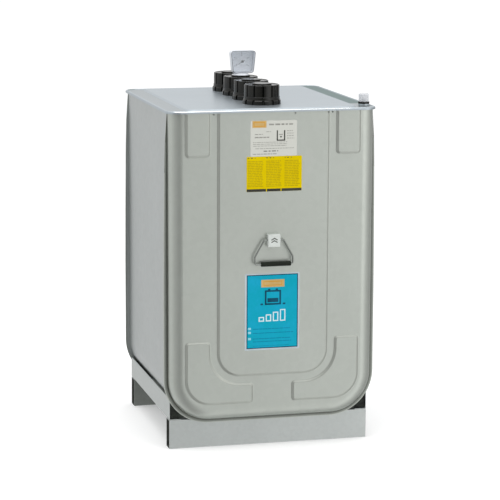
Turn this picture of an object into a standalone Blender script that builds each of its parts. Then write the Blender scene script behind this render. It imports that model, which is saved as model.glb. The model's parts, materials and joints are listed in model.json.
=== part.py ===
"""Free-standing oil storage tank: a plastic inner tank in a pressed sheet-steel jacket on a steel frame.

Metres, +Z up. The front faces -Y. The origin is on the floor, at the centre of the footprint.
"""
import math

import bmesh
import bpy
from mathutils import Matrix, Vector
from mathutils.geometry import delaunay_2d_cdt

# Driving dimensions
GAP = 0.0003                    # clearance kept between touching pieces
SHEET = 0.002                   # wall of the jacket, the frame and the brackets

# Frame: two cross beams that carry two side rails
BEAM_LENGTH = 0.690
BEAM_HEIGHT = 0.100
BEAM_DEPTH = 0.046
FOLD_RADIUS = 0.003
FRAME_DEPTH = 0.648
RAIL_HEIGHT = 0.073
RAIL_FOOT = 0.040
PAD_DEPTH = 0.038
PAD_INNER_X = 0.272
PAD_TOP = 0.160

# Jacket: the side wrap is a U of sheet, the front and rear panels close it
JACKET_HALF_WIDTH = 0.349
JACKET_BOTTOM = BEAM_HEIGHT + GAP
JACKET_TOP = 1.1405
CORNER_RADIUS = 0.140
CORNER_STEPS = 9
FLANGE_WIDTH = 0.016
FLANGE_TOP_WIDTH = 0.0045
FLANGE_TAPER = 0.060
FLANGE_TAPER_STEPS = 3
WRAP_HALF_DEPTH = FRAME_DEPTH / 2 + 2 * GAP
PANEL_FLANGE_Y = WRAP_HALF_DEPTH + 2 * SHEET + GAP
PANEL_FACE_Y = 0.369
PANEL_EDGE_WIDTH = 0.046
PANEL_SKIRT = 0.003
PANEL_EDGE_STEPS = 6

# Pressed fields on each panel
FIELD_RISE = 0.004
FIELD_SLOPE = 0.006
CENTRE_HALF_WIDTH = 0.191
CENTRE_BOTTOM = 0.2495
CENTRE_RADIUS = 0.082
SIDE_FIELD_INNER = 0.215
SIDE_FIELD_OUTER = 0.300
TOP_FIELD_BOTTOM = 0.991
TOP_FIELD_RADIUS = 0.014
CORNER_FIELD_TOP = 0.3725
CORNER_FIELD_BOTTOM = 0.156
CORNER_FIELD_ARM = 0.2255
CORNER_FIELD_END = 0.067
CORNER_FIELD_INNER_RADIUS = 0.105
CORNER_FIELD_OUTER_RADIUS = 0.088
CORNER_FIELD_RADIUS = 0.012

# Lid
LID_HALF_WIDTH = 0.3595
LID_HALF_DEPTH = 0.3765
LID_RADIUS = 0.046
LID_TOP = 1.1450
LID_RIM_HEIGHT = 0.0085
LID_EDGE_RADIUS = 0.003
LID_EDGE_STEPS = 6
LID_SIDE_STRIP = 0.062
LID_END_STRIP = 0.020
LID_FIELD_RISE = 0.0025
LID_FIELD_SLOPE = 0.006
LID_CORNER_STEPS = 5
LID_SEAT = LID_TOP + LID_FIELD_RISE

# Inner tank and its row of sockets
TANK_WALL = 0.006
TANK_HALF_WIDTH = 0.335
TANK_HALF_DEPTH = 0.357
TANK_TOP = 1.105
TANK_BOTTOM_ROUND = 0.125
TANK_TOP_ROUND = 0.012
TANK_PLAN_RADIUS = 0.100
TANK_LEAST_RADIUS = 0.020
SOCKET_PITCH = 0.1457
SOCKET_CENTRE_Y = 0.0106
SOCKET_COUNT = 4
GAUGE_SOCKET = 2
NECK_RADIUS = 0.046
NECK_TOP = LID_SEAT + 0.045
NECK_SIDES = 24

# Screw caps
COLLAR_BASE_RADIUS = 0.0645
COLLAR_TOP_RADIUS = 0.0610
COLLAR_HEIGHT = 0.0250
COLLAR_FOOT_HEIGHT = 0.0120
COLLAR_NECK_HEIGHT = 0.0185
COLLAR_DRAFT = 0.001
CAP_RADIUS = 0.0595
CAP_VALLEY = 0.0570
CAP_LUGS = 12
CAP_LUG_BREADTH = 1.6
CAP_HEIGHT = 0.0394
CAP_EDGE = 0.002
CAP_ROOF = 0.005
CAP_BOSS_RADIUS = 0.0330
CAP_BOSS_HEIGHT = 0.0035
CAP_BOSS_DRAFT = 0.001

# Level gauge on the third cap
GAUGE_X = 0.0060
GAUGE_STEM_X = 0.0
GAUGE_STEM_RADIUS = 0.0300
GAUGE_STEM_FOOT = 0.0015
GAUGE_STEM_TOP_RADIUS = 0.0225
GAUGE_STEM_HEIGHT = 0.0065
GAUGE_TOP_WIDTH = 0.090
GAUGE_BOTTOM_WIDTH = 0.074
GAUGE_HEIGHT = 0.078
GAUGE_RADIUS = 0.010
GAUGE_DEPTH = 0.028
GAUGE_WALL = 0.0025
GAUGE_COVER = 0.003
GAUGE_COVER_EDGE = 0.0015
DIAL_THICKNESS = 0.001
DIAL_MARGIN = 0.0008
NEEDLE_CLEARANCE = 0.0110
NEEDLE_THICKNESS = 0.001
NEEDLE_LENGTH = 0.024
NEEDLE_TAIL = 0.009
NEEDLE_TIP = 0.0006
NEEDLE_ROOT = 0.0009
NEEDLE_HUB_RADIUS = 0.0045
NEEDLE_BORE = 0.0019
SPINDLE_RADIUS = 0.0015
SPINDLE_STANDS_OUT = 0.001
NEEDLE_REST_ANGLE = math.radians(212)
HUB_ABOVE_BOTTOM = 0.0390

# Leak indicator on the front right corner of the lid
LEAK_X = 0.3365
LEAK_Y = -0.279
LEAK_BASE_RADIUS = 0.0192
LEAK_BASE_HEIGHT = 0.009
LEAK_BASE_SHOULDER = 0.0063
LEAK_BORE = 0.003
LEAK_DOME_RADIUS = 0.0175
LEAK_DOME_WALL = 0.0015
LEAK_DOME_HEIGHT = 0.027
LEAK_DOME_EDGE = 0.0025
LEAK_STEM_RADIUS = 0.0023
LEAK_STEM_LENGTH = 0.030
LEAK_HEAD_RADIUS = 0.007
LEAK_HEAD_HEIGHT = 0.007
LEAK_LID_HOLE = 0.004

# Carrying handles
HANDLE_X = -0.002
HANDLE_PIVOT_Z = 0.7125
HANDLE_STANDOFF = 0.0135
BRACKET_HALF_WIDTH = 0.0175
BRACKET_BOTTOM = 0.6905
BRACKET_TOP = 0.7335
BRACKET_DEPTH = 0.020
BRACKET_FLARE = 0.0045
BRACKET_RADIUS = 0.003
BRACKET_EDGE = 0.0015
BRACKET_WALL = 0.0025
BRACKET_HOLE = 0.0037
WIRE_RADIUS = 0.0029
WIRE_INNER_X = 0.010
WIRE_ELBOW_X = 0.033
WIRE_WIDE_X = 0.065
WIRE_WIDE_DROP = 0.056
WIRE_GRIP_DROP = 0.0815
GRIP_START_X = -0.044
GRIP_END_X = 0.058
GRIP_RADIUS = 0.008
GRIP_BORE = 0.0033

# Labels on the front panel: half width, bottom, top, sideways shift
LABEL_THICKNESS = 0.0005
UPPER_LABEL = (0.0795, 0.9905, 1.109, -0.0015)
MIDDLE_LABEL = (0.0945, 0.873, 0.990, 0.001)
LOWER_LABEL = (0.0945, 0.337, 0.598, -0.0035)

FIELD_Y = PANEL_FACE_Y + FIELD_RISE
PIVOT_Y = FIELD_Y + HANDLE_STANDOFF
SMOOTH_ANGLE = math.radians(32)
LID_SMOOTH_ANGLE = math.radians(18)


def clear_scene():
    """Remove whatever the file starts with."""
    for obj in list(bpy.data.objects):
        bpy.data.objects.remove(obj, do_unlink=True)


def make_material(name, colour, roughness, metallic=0.0, alpha=1.0):
    """One Principled BSDF with the finish of a sub-part."""
    material = bpy.data.materials.new(name)
    material.use_nodes = True
    shader = material.node_tree.nodes["Principled BSDF"]
    shader.inputs["Base Color"].default_value = (*colour, 1.0)
    shader.inputs["Roughness"].default_value = roughness
    shader.inputs["Metallic"].default_value = metallic
    shader.inputs["Alpha"].default_value = alpha
    return material


def make_materials():
    """Every finish of the tank, by name."""
    return {
        "galvanised": make_material("galvanised", (0.42, 0.44, 0.43), 0.45, 0.6),
        "frame_steel": make_material("frame_steel", (0.45, 0.48, 0.47), 0.42, 0.7),
        "lid_steel": make_material("lid_steel", (0.55, 0.59, 0.62), 0.35, 0.7),
        "tank_plastic": make_material("tank_plastic", (0.75, 0.74, 0.68), 0.5),
        "black_plastic": make_material("black_plastic", (0.025, 0.025, 0.02), 0.45),
        "clear_plastic": make_material("clear_plastic", (0.75, 0.77, 0.80), 0.12, 0.0, 0.45),
        "gauge_grey": make_material("gauge_grey", (0.55, 0.57, 0.62), 0.35),
        "dial_white": make_material("dial_white", (0.80, 0.80, 0.80), 0.5),
        "needle_black": make_material("needle_black", (0.03, 0.03, 0.03), 0.5),
        "float_white": make_material("float_white", (0.80, 0.80, 0.80), 0.4),
        "grip_rubber": make_material("grip_rubber", (0.03, 0.035, 0.03), 0.7),
        "wire_zinc": make_material("wire_zinc", (0.40, 0.42, 0.40), 0.35, 0.9),
        "label_white": make_material("label_white", (0.60, 0.58, 0.53), 0.5),
        "label_yellow": make_material("label_yellow", (0.66, 0.52, 0.01), 0.5),
        "label_blue": make_material("label_blue", (0.02, 0.38, 0.52), 0.45),
    }


MATERIALS = {}


def add_object(name, data, finish):
    """Link a mesh or curve as the named object, with its finish."""
    if not data.materials:
        data.materials.append(MATERIALS[finish])
    obj = bpy.data.objects.new(name, data)
    bpy.context.collection.objects.link(obj)
    return obj


def finish_mesh(name, form, smooth_angle=SMOOTH_ANGLE):
    """Merge, orient and shade a bmesh, and return it as mesh data."""
    bmesh.ops.remove_doubles(form, verts=form.verts, dist=0.00001)
    bmesh.ops.recalc_face_normals(form, faces=form.faces)
    mesh = bpy.data.meshes.new(name)
    form.to_mesh(mesh)
    form.free()
    mesh.shade_smooth()
    mesh.set_sharp_from_angle(angle=smooth_angle)
    return mesh


def thicken(obj, thickness):
    """Give a sheet its wall, behind its faces."""
    wall = obj.modifiers.new("wall", "SOLIDIFY")
    wall.thickness = thickness
    wall.offset = -1.0
    wall.use_even_offset = True


def cut(obj, cutter):
    """Cut one object out of another, and hide the cutter."""
    cutter.hide_render = True
    cutter.display_type = "WIRE"
    boolean = obj.modifiers.new("cut", "BOOLEAN")
    boolean.operation = "DIFFERENCE"
    boolean.solver = "EXACT"
    boolean.object = cutter


def rounded_outline(corners, steps=4):
    """A closed outline from corners (u, v, radius), with an arc at each corner that has a radius."""
    points = []
    count = len(corners)
    for index, (u, v, radius) in enumerate(corners):
        corner = Vector((u, v))
        if radius <= 0.0:
            points.append(corner)
            continue
        before = (Vector(corners[index - 1][:2]) - corner).normalized()
        after = (Vector(corners[(index + 1) % count][:2]) - corner).normalized()
        half_angle = before.angle(after) / 2
        centre = corner + (before + after).normalized() * radius / math.sin(half_angle)
        start = corner + before * radius / math.tan(half_angle) - centre
        end = corner + after * radius / math.tan(half_angle) - centre
        for step in range(steps + 1):
            points.append(centre + start.slerp(end, step / steps) * radius)
    return points


def rounded_rectangle(half_u, half_v, radius, steps):
    """A rectangle about the origin with round corners."""
    corners = [(-half_u, -half_v), (half_u, -half_v), (half_u, half_v), (-half_u, half_v)]
    return rounded_outline([(u, v, radius) for u, v in corners], steps)


def circle(radius, count, centre=(0.0, 0.0), phase=0.0):
    """Points round a circle."""
    turn = 2 * math.pi / count
    return [
        Vector((
            centre[0] + radius * math.cos(phase + turn * index),
            centre[1] + radius * math.sin(phase + turn * index),
        ))
        for index in range(count)
    ]


def inside(point, outline):
    """Whether a point lies inside a closed outline."""
    odd = False
    for index, end in enumerate(outline):
        start = outline[index - 1]
        if (start.y > point.y) != (end.y > point.y):
            crossing = start.x + (point.y - start.y) / (end.y - start.y) * (end.x - start.x)
            if point.x < crossing:
                odd = not odd
    return odd


def fill_levels(form, outline, raised, holes, place):
    """Triangulate a flat outline whose raised loops lie at their own level.

    raised holds (loop, level) pairs, and place turns (u, v, level) into a point in space.
    """
    points = []
    edges = []
    levels = []
    for loop, level in [(outline, 0.0)] + raised + holes:
        first = len(points)
        points.extend(loop)
        levels.extend([level] * len(loop))
        edges.extend((first + index, first + (index + 1) % len(loop)) for index in range(len(loop)))
    flat, _, faces, sources, _, _ = delaunay_2d_cdt(points, edges, [], 1, 0.000001)
    made = []
    for point, source in zip(flat, sources):
        level = max((levels[index] for index in source), key=abs, default=0.0)
        made.append(form.verts.new(place(point.x, point.y, level)))
    for face in faces:
        middle = sum((flat[index] for index in face), Vector((0.0, 0.0))) / len(face)
        if not any(inside(middle, hole) for hole, _ in holes):
            form.faces.new([made[index] for index in face])


def loft(form, rings, closed=True, capped=(False, False)):
    """Join successive rings of points with quads, and fan the ends that are capped."""
    rows = [[form.verts.new(point) for point in ring] for ring in rings]
    count = len(rows[0])
    span = count if closed else count - 1
    for lower, upper in zip(rows, rows[1:]):
        for index in range(span):
            following = (index + 1) % count
            form.faces.new((lower[index], lower[following], upper[following], upper[index]))
    for row, wanted in zip((rows[0], rows[-1]), capped):
        if wanted:
            middle = sum((vert.co for vert in row), Vector()) / count
            centre = form.verts.new(middle)
            for index in range(count):
                form.faces.new((row[index], row[(index + 1) % count], centre))


def extruded(name, outline, place, start, end):
    """A closed bar whose section is an outline, from one end position to the other."""
    form = bmesh.new()
    rows = []
    for position in (start, end):
        rows.append([form.verts.new(place(point.x, point.y, position)) for point in outline])
    count = len(outline)
    for index in range(count):
        following = (index + 1) % count
        form.faces.new((rows[0][index], rows[0][following], rows[1][following], rows[1][index]))
    form.faces.new(rows[0])
    form.faces.new(rows[1])
    form.normal_update()
    bmesh.ops.triangulate(form, faces=[face for face in form.faces if len(face.verts) > 4])
    return finish_mesh(name, form)


def turned(name, profile, sides):
    """A closed body turned about +Z from a closed profile of (radius, height) points."""
    form = bmesh.new()
    ring = profile + [profile[0]] if profile[0][0] > 0.0 else profile
    rings = []
    for radius, height in ring:
        rings.append([(point.x, point.y, height) for point in circle(radius, sides)])
    loft(form, rings)
    bmesh.ops.dissolve_degenerate(form, edges=form.edges, dist=0.000001)
    return finish_mesh(name, form)


def across(u, v, position):
    """Section in Y and Z, length along X."""
    return (position, u, v)


def along(u, v, position):
    """Section in X and Z, length along Y."""
    return (u, position, v)


def make_beams():
    """The front and rear cross beams: box sections of sheet with open ends."""
    outer = FRAME_DEPTH / 2
    inner = outer - BEAM_DEPTH

    def section(inset):
        radius = FOLD_RADIUS - inset
        low, high = inset, BEAM_HEIGHT - inset
        front, back = -outer + inset, -inner - inset
        return rounded_outline(
            [(front, low, radius), (back, low, radius), (back, high, radius), (front, high, radius)], steps=2)

    end = BEAM_LENGTH / 2
    outside, inside = section(0.0), section(SHEET)
    form = bmesh.new()
    loft(form, [
        [across(point.x, point.y, position) for point in outline]
        for outline, position in (
            (outside, -end), (outside, end), (inside, end), (inside, -end), (outside, -end))
    ])
    mesh = finish_mesh("beam", form)
    add_object("front_beam", mesh, "frame_steel")
    rear = add_object("rear_beam", mesh, "frame_steel")
    rear.rotation_euler.z = math.pi


def make_rails():
    """Angle rails along both sides, standing on the beams and holding the jacket between them."""
    outer = BEAM_LENGTH / 2
    low = BEAM_HEIGHT + GAP
    section = rounded_outline([
        (outer, low, FOLD_RADIUS),
        (outer, low + RAIL_HEIGHT, 0.0),
        (outer - SHEET, low + RAIL_HEIGHT, 0.0),
        (outer - SHEET, low + SHEET, FOLD_RADIUS - SHEET),
        (outer - RAIL_FOOT, low + SHEET, 0.0),
        (outer - RAIL_FOOT, low, 0.0),
    ], steps=2)
    mesh = extruded("rail", section, along, -FRAME_DEPTH / 2, FRAME_DEPTH / 2)
    add_object("right_rail", mesh, "frame_steel")
    left = add_object("left_rail", mesh, "frame_steel")
    left.rotation_euler.z = math.pi


def make_corner_pads():
    """Black blocks that fill the frame's corners under the round edges of the jacket."""
    low = BEAM_HEIGHT + GAP + SHEET + GAP
    outer = BEAM_LENGTH / 2 - SHEET - GAP
    centre = Vector((JACKET_HALF_WIDTH - CORNER_RADIUS, JACKET_BOTTOM + CORNER_RADIUS))
    reach = CORNER_RADIUS + GAP
    start = math.asin((centre.y - PAD_TOP) / reach)
    end = math.acos((PAD_INNER_X - centre.x) / reach)
    steps = 5
    outline = [Vector((PAD_INNER_X, low)), Vector((outer, low)), Vector((outer, PAD_TOP))]
    for step in range(steps + 1):
        angle = start + (end - start) * step / steps
        outline.append(centre + Vector((math.cos(angle), -math.sin(angle))) * reach)
    mesh = extruded("corner_pad", outline, along, -PAD_DEPTH / 2, PAD_DEPTH / 2)
    mirrored = mesh.copy()
    mirrored.transform(Matrix.Scale(-1.0, 4, (1.0, 0.0, 0.0)))
    mirrored.flip_normals()
    beam_middle = (FRAME_DEPTH - BEAM_DEPTH) / 2
    for side, data in (("right", mesh), ("left", mirrored)):
        for end_name, y in (("front", -beam_middle), ("rear", beam_middle)):
            pad = add_object(f"{end_name}_{side}_corner_pad", data, "black_plastic")
            pad.location.y = y


def flange_width(height):
    """Width of the seam flange, which tapers away just under the lid."""
    share = (JACKET_TOP - height) / FLANGE_TAPER
    blend = min(max(share, 0.0), 1.0)
    return FLANGE_TOP_WIDTH + (FLANGE_WIDTH - FLANGE_TOP_WIDTH) * math.sin(blend * math.pi / 2)


def jacket_stations():
    """Points down the left side, under the bottom and up the right side, each with its normal."""
    centre_x = JACKET_HALF_WIDTH - CORNER_RADIUS
    centre_z = JACKET_BOTTOM + CORNER_RADIUS
    right = []
    for step in range(CORNER_STEPS + 1):
        angle = -math.pi / 2 + math.pi / 2 * step / CORNER_STEPS
        normal = Vector((math.cos(angle), math.sin(angle)))
        right.append((Vector((centre_x, centre_z)) + normal * CORNER_RADIUS, normal))
    for step in range(FLANGE_TAPER_STEPS + 1):
        height = JACKET_TOP - FLANGE_TAPER * (1 - step / FLANGE_TAPER_STEPS)
        right.append((Vector((JACKET_HALF_WIDTH, height)), Vector((1.0, 0.0))))
    left = [(Vector((-point.x, point.y)), Vector((-normal.x, normal.y))) for point, normal in right]
    return left[::-1] + right


def sweep_section(form, section):
    """Sweep a section round the jacket; each of its points is (offset, flange share, y)."""
    rings = []
    for offset, share, y in section:
        ring = []
        for point, normal in jacket_stations():
            place = point + normal * (offset + share * flange_width(point.y))
            ring.append((place.x, y, place.y))
        rings.append(ring)
    loft(form, rings, closed=False)
    return rings


def make_side_wrap():
    """The U of sheet that makes both sides and the bottom, with a seam flange at each end."""
    form = bmesh.new()
    section = [(0.0, 1.0, WRAP_HALF_DEPTH), (0.0, 0.0, WRAP_HALF_DEPTH)]
    section += [(0.0, 0.0, -WRAP_HALF_DEPTH), (0.0, 1.0, -WRAP_HALF_DEPTH)]
    sweep_section(form, section)
    mesh = finish_mesh("side_wrap", form)
    face_outwards(mesh, lambda centre, normal: abs(centre.x) > 0.3 and abs(normal.x) > 0.9,
                  lambda centre, normal: normal.x * centre.x)
    wrap = add_object("side_wrap", mesh, "galvanised")
    thicken(wrap, SHEET)


def face_outwards(mesh, chosen, outward):
    """Turn an open sheet so that the chosen faces look outwards."""
    total = 0.0
    for polygon in mesh.polygons:
        if chosen(polygon.center, polygon.normal):
            total += outward(polygon.center, polygon.normal) * polygon.area
    if total < 0.0:
        mesh.flip_normals()


def centre_field(inset):
    """Outline of the wide pressed field, open at the top."""
    half = CENTRE_HALF_WIDTH - inset
    low = CENTRE_BOTTOM + inset
    radius = CENTRE_RADIUS - inset
    return rounded_outline([
        (-half, JACKET_TOP, 0.0), (-half, low, radius), (half, low, radius), (half, JACKET_TOP, 0.0),
    ], steps=6)


def top_field(side, inset):
    """Outline of the short pressed field beside the centre field, open at the top."""
    inner = side * (SIDE_FIELD_INNER + inset)
    outer = side * (SIDE_FIELD_OUTER - inset)
    low = TOP_FIELD_BOTTOM + inset
    radius = TOP_FIELD_RADIUS - inset
    return rounded_outline([
        (inner, JACKET_TOP, 0.0), (inner, low, radius), (outer, low, radius), (outer, JACKET_TOP, 0.0),
    ], steps=2)


def corner_field(side, inset):
    """Outline of the L-shaped pressed field that follows the panel's lower corner."""
    inner = side * (SIDE_FIELD_INNER + inset)
    outer = side * (SIDE_FIELD_OUTER - inset)
    end = side * (CORNER_FIELD_END + inset)
    top = CORNER_FIELD_TOP - inset
    arm = CORNER_FIELD_ARM - inset
    low = CORNER_FIELD_BOTTOM + inset
    small = CORNER_FIELD_RADIUS - inset
    return rounded_outline([
        (inner, top, small),
        (inner, arm, CORNER_FIELD_INNER_RADIUS + inset),
        (end, arm, small),
        (end, low, small),
        (outer, low, CORNER_FIELD_OUTER_RADIUS - inset),
        (outer, top, small),
    ], steps=4)


def make_panels():
    """The front and rear panels: a flange, a rounded edge and a flat face with pressed fields."""
    form = bmesh.new()
    section = [(0.0, 1.0, -PANEL_FLANGE_Y), (0.0, 0.0, -PANEL_FLANGE_Y)]
    arc_start = PANEL_FLANGE_Y + PANEL_SKIRT
    for step in range(PANEL_EDGE_STEPS + 1):
        angle = math.pi / 2 * step / PANEL_EDGE_STEPS
        offset = -PANEL_EDGE_WIDTH * (1 - math.cos(angle))
        depth = arc_start + (PANEL_FACE_Y - arc_start) * math.sin(angle)
        section.append((offset, 0.0, -depth))
    rings = sweep_section(form, section)
    outline = [Vector((x, z)) for x, _, z in rings[-1]]
    fields = [(centre_field(0.0), 0.0), (centre_field(FIELD_SLOPE), FIELD_RISE)]
    for side in (-1, 1):
        for loop in (top_field, corner_field):
            fields += [(loop(side, 0.0), 0.0), (loop(side, FIELD_SLOPE), FIELD_RISE)]
    fill_levels(form, outline, fields, [], lambda u, v, level: (u, -PANEL_FACE_Y - level, v))
    mesh = finish_mesh("panel", form)
    face_outwards(mesh, lambda centre, normal: centre.y < -PANEL_FACE_Y + GAP,
                  lambda centre, normal: -normal.y)
    for name, turn in (("front_panel", 0.0), ("rear_panel", math.pi)):
        panel = add_object(name, mesh, "galvanised")
        panel.rotation_euler.z = turn
        thicken(panel, SHEET)


def socket_centres():
    """Centres of the sockets along the row, front first."""
    middle = (SOCKET_COUNT - 1) / 2
    return [(0.0, SOCKET_CENTRE_Y + SOCKET_PITCH * (index - middle)) for index in range(SOCKET_COUNT)]


def make_lid():
    """The lid: a turned-down rim, a level strip and a raised field with a hole for each socket."""
    form = bmesh.new()

    def plan(inset):
        return rounded_rectangle(
            LID_HALF_WIDTH - inset, LID_HALF_DEPTH - inset, LID_RADIUS - inset, LID_CORNER_STEPS)

    rings = [[(p.x, p.y, LID_TOP - LID_RIM_HEIGHT) for p in plan(0.0)]]
    for step in range(LID_EDGE_STEPS + 1):
        angle = math.pi / 2 * step / LID_EDGE_STEPS
        inset = LID_EDGE_RADIUS * (1 - math.cos(angle))
        height = LID_TOP - LID_EDGE_RADIUS * (1 - math.sin(angle))
        rings.append([(p.x, p.y, height) for p in plan(inset)])
    loft(form, rings)

    def field(inset):
        return rounded_rectangle(
            LID_HALF_WIDTH - LID_SIDE_STRIP - inset, LID_HALF_DEPTH - LID_END_STRIP - inset,
            LID_RADIUS - inset, LID_CORNER_STEPS)

    levels = [(field(0.0), 0.0), (field(LID_FIELD_SLOPE), LID_FIELD_RISE)]
    bore = NECK_RADIUS + 2 * GAP
    holes = [(circle(bore, NECK_SIDES, centre), LID_FIELD_RISE) for centre in socket_centres()]
    holes.append((circle(LEAK_LID_HOLE, 8, (LEAK_X, LEAK_Y)), 0.0))
    fill_levels(form, plan(LID_EDGE_RADIUS), levels, holes, lambda u, v, level: (u, v, LID_TOP + level))
    mesh = finish_mesh("lid", form, LID_SMOOTH_ANGLE)
    face_outwards(mesh, lambda centre, normal: abs(normal.z) > 0.9, lambda centre, normal: normal.z)
    lid = add_object("lid", mesh, "lid_steel")
    thicken(lid, SHEET)


def make_inner_tank():
    """The plastic tank inside the jacket: round edges, a flat top and a neck for each socket."""
    form = bmesh.new()
    bottom = JACKET_BOTTOM + SHEET + GAP
    levels = []
    steps = 4
    for step in range(steps + 1):
        angle = math.pi / 2 * step / steps
        levels.append((TANK_BOTTOM_ROUND * (1 - math.sin(angle)),
                       bottom + TANK_BOTTOM_ROUND * (1 - math.cos(angle))))
    for step in range(steps):
        angle = math.pi / 2 * step / (steps - 1)
        levels.append((TANK_TOP_ROUND * (1 - math.cos(angle)),
                       TANK_TOP - TANK_TOP_ROUND * (1 - math.sin(angle))))
    plans = []
    for inset, _ in levels:
        radius = max(TANK_PLAN_RADIUS - inset, TANK_LEAST_RADIUS)
        plans.append(rounded_rectangle(TANK_HALF_WIDTH - inset, TANK_HALF_DEPTH - inset, radius, 4))
    loft(form, [[(p.x, p.y, height) for p in plan] for plan, (_, height) in zip(plans, levels)])
    fill_levels(form, plans[0], [], [], lambda u, v, level: (u, v, bottom))
    holes = [(circle(NECK_RADIUS, NECK_SIDES, centre), 0.0) for centre in socket_centres()]
    fill_levels(form, plans[-1], [], holes, lambda u, v, level: (u, v, TANK_TOP))
    for hole, _ in holes:
        loft(form, [[(p.x, p.y, height) for p in hole] for height in (TANK_TOP, NECK_TOP)])
    mesh = finish_mesh("inner_tank", form)
    face_outwards(mesh, lambda centre, normal: centre.z < bottom + GAP, lambda centre, normal: -normal.z)
    tank = add_object("inner_tank", mesh, "tank_plastic")
    thicken(tank, TANK_WALL)


def lug_radius(angle):
    """Radius of a cap's wall: broad lugs with narrow valleys between them."""
    wave = abs(math.cos(angle * CAP_LUGS / 2))
    return CAP_VALLEY + (CAP_RADIUS - CAP_VALLEY) * min(1.0, wave * CAP_LUG_BREADTH)


def cap_mesh():
    """A ribbed screw cap with its skirt round the neck and a low round boss on its roof."""
    form = bmesh.new()
    sides = CAP_LUGS * 4
    turn = 2 * math.pi / sides

    def ring(height, radius=None, inset=0.0):
        points = []
        for index in range(sides):
            reach = (lug_radius(turn * index) if radius is None else radius) - inset
            points.append((reach * math.cos(turn * index), reach * math.sin(turn * index), height))
        return points

    bore = NECK_RADIUS + GAP
    rings = [
        ring(CAP_HEIGHT - CAP_ROOF, bore),
        ring(0.0, bore),
        ring(0.0),
        ring(CAP_HEIGHT - CAP_EDGE),
        ring(CAP_HEIGHT, None, CAP_EDGE),
        ring(CAP_HEIGHT, CAP_BOSS_RADIUS),
        ring(CAP_HEIGHT + CAP_BOSS_HEIGHT, CAP_BOSS_RADIUS - CAP_BOSS_DRAFT),
    ]
    loft(form, rings, capped=(True, True))
    return finish_mesh("screw_cap", form)


def make_socket_row():
    """A flared collar and a screw cap on each neck; one cap carries the gauge."""
    collar_profile = [
        (NECK_RADIUS + GAP, 0.0),
        (COLLAR_BASE_RADIUS, 0.0),
        (COLLAR_BASE_RADIUS - COLLAR_DRAFT, COLLAR_FOOT_HEIGHT),
        (COLLAR_TOP_RADIUS, COLLAR_NECK_HEIGHT),
        (COLLAR_TOP_RADIUS, COLLAR_HEIGHT),
        (NECK_RADIUS + GAP, COLLAR_HEIGHT),
    ]
    collar = turned("collar", collar_profile, NECK_SIDES)
    cap = cap_mesh()
    for index, (x, y) in enumerate(socket_centres()):
        ring = add_object(f"socket_collar_{index + 1}", collar, "black_plastic")
        ring.location = (x, y, LID_SEAT + GAP)
        name = "gauge_cap" if index == GAUGE_SOCKET else f"screw_cap_{index + 1}"
        top = add_object(name, cap, "black_plastic")
        top.location = (x, y, LID_SEAT + COLLAR_HEIGHT + 2 * GAP)


def gauge_outline(inset, steps=4):
    """The gauge's face: wider at the top than at the bottom, with round corners."""
    top = GAUGE_TOP_WIDTH / 2 - inset
    bottom = GAUGE_BOTTOM_WIDTH / 2 - inset
    radius = GAUGE_RADIUS - inset
    return rounded_outline([
        (-bottom, inset, radius), (bottom, inset, radius),
        (top, GAUGE_HEIGHT - inset, radius), (-top, GAUGE_HEIGHT - inset, radius),
    ], steps)


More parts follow.
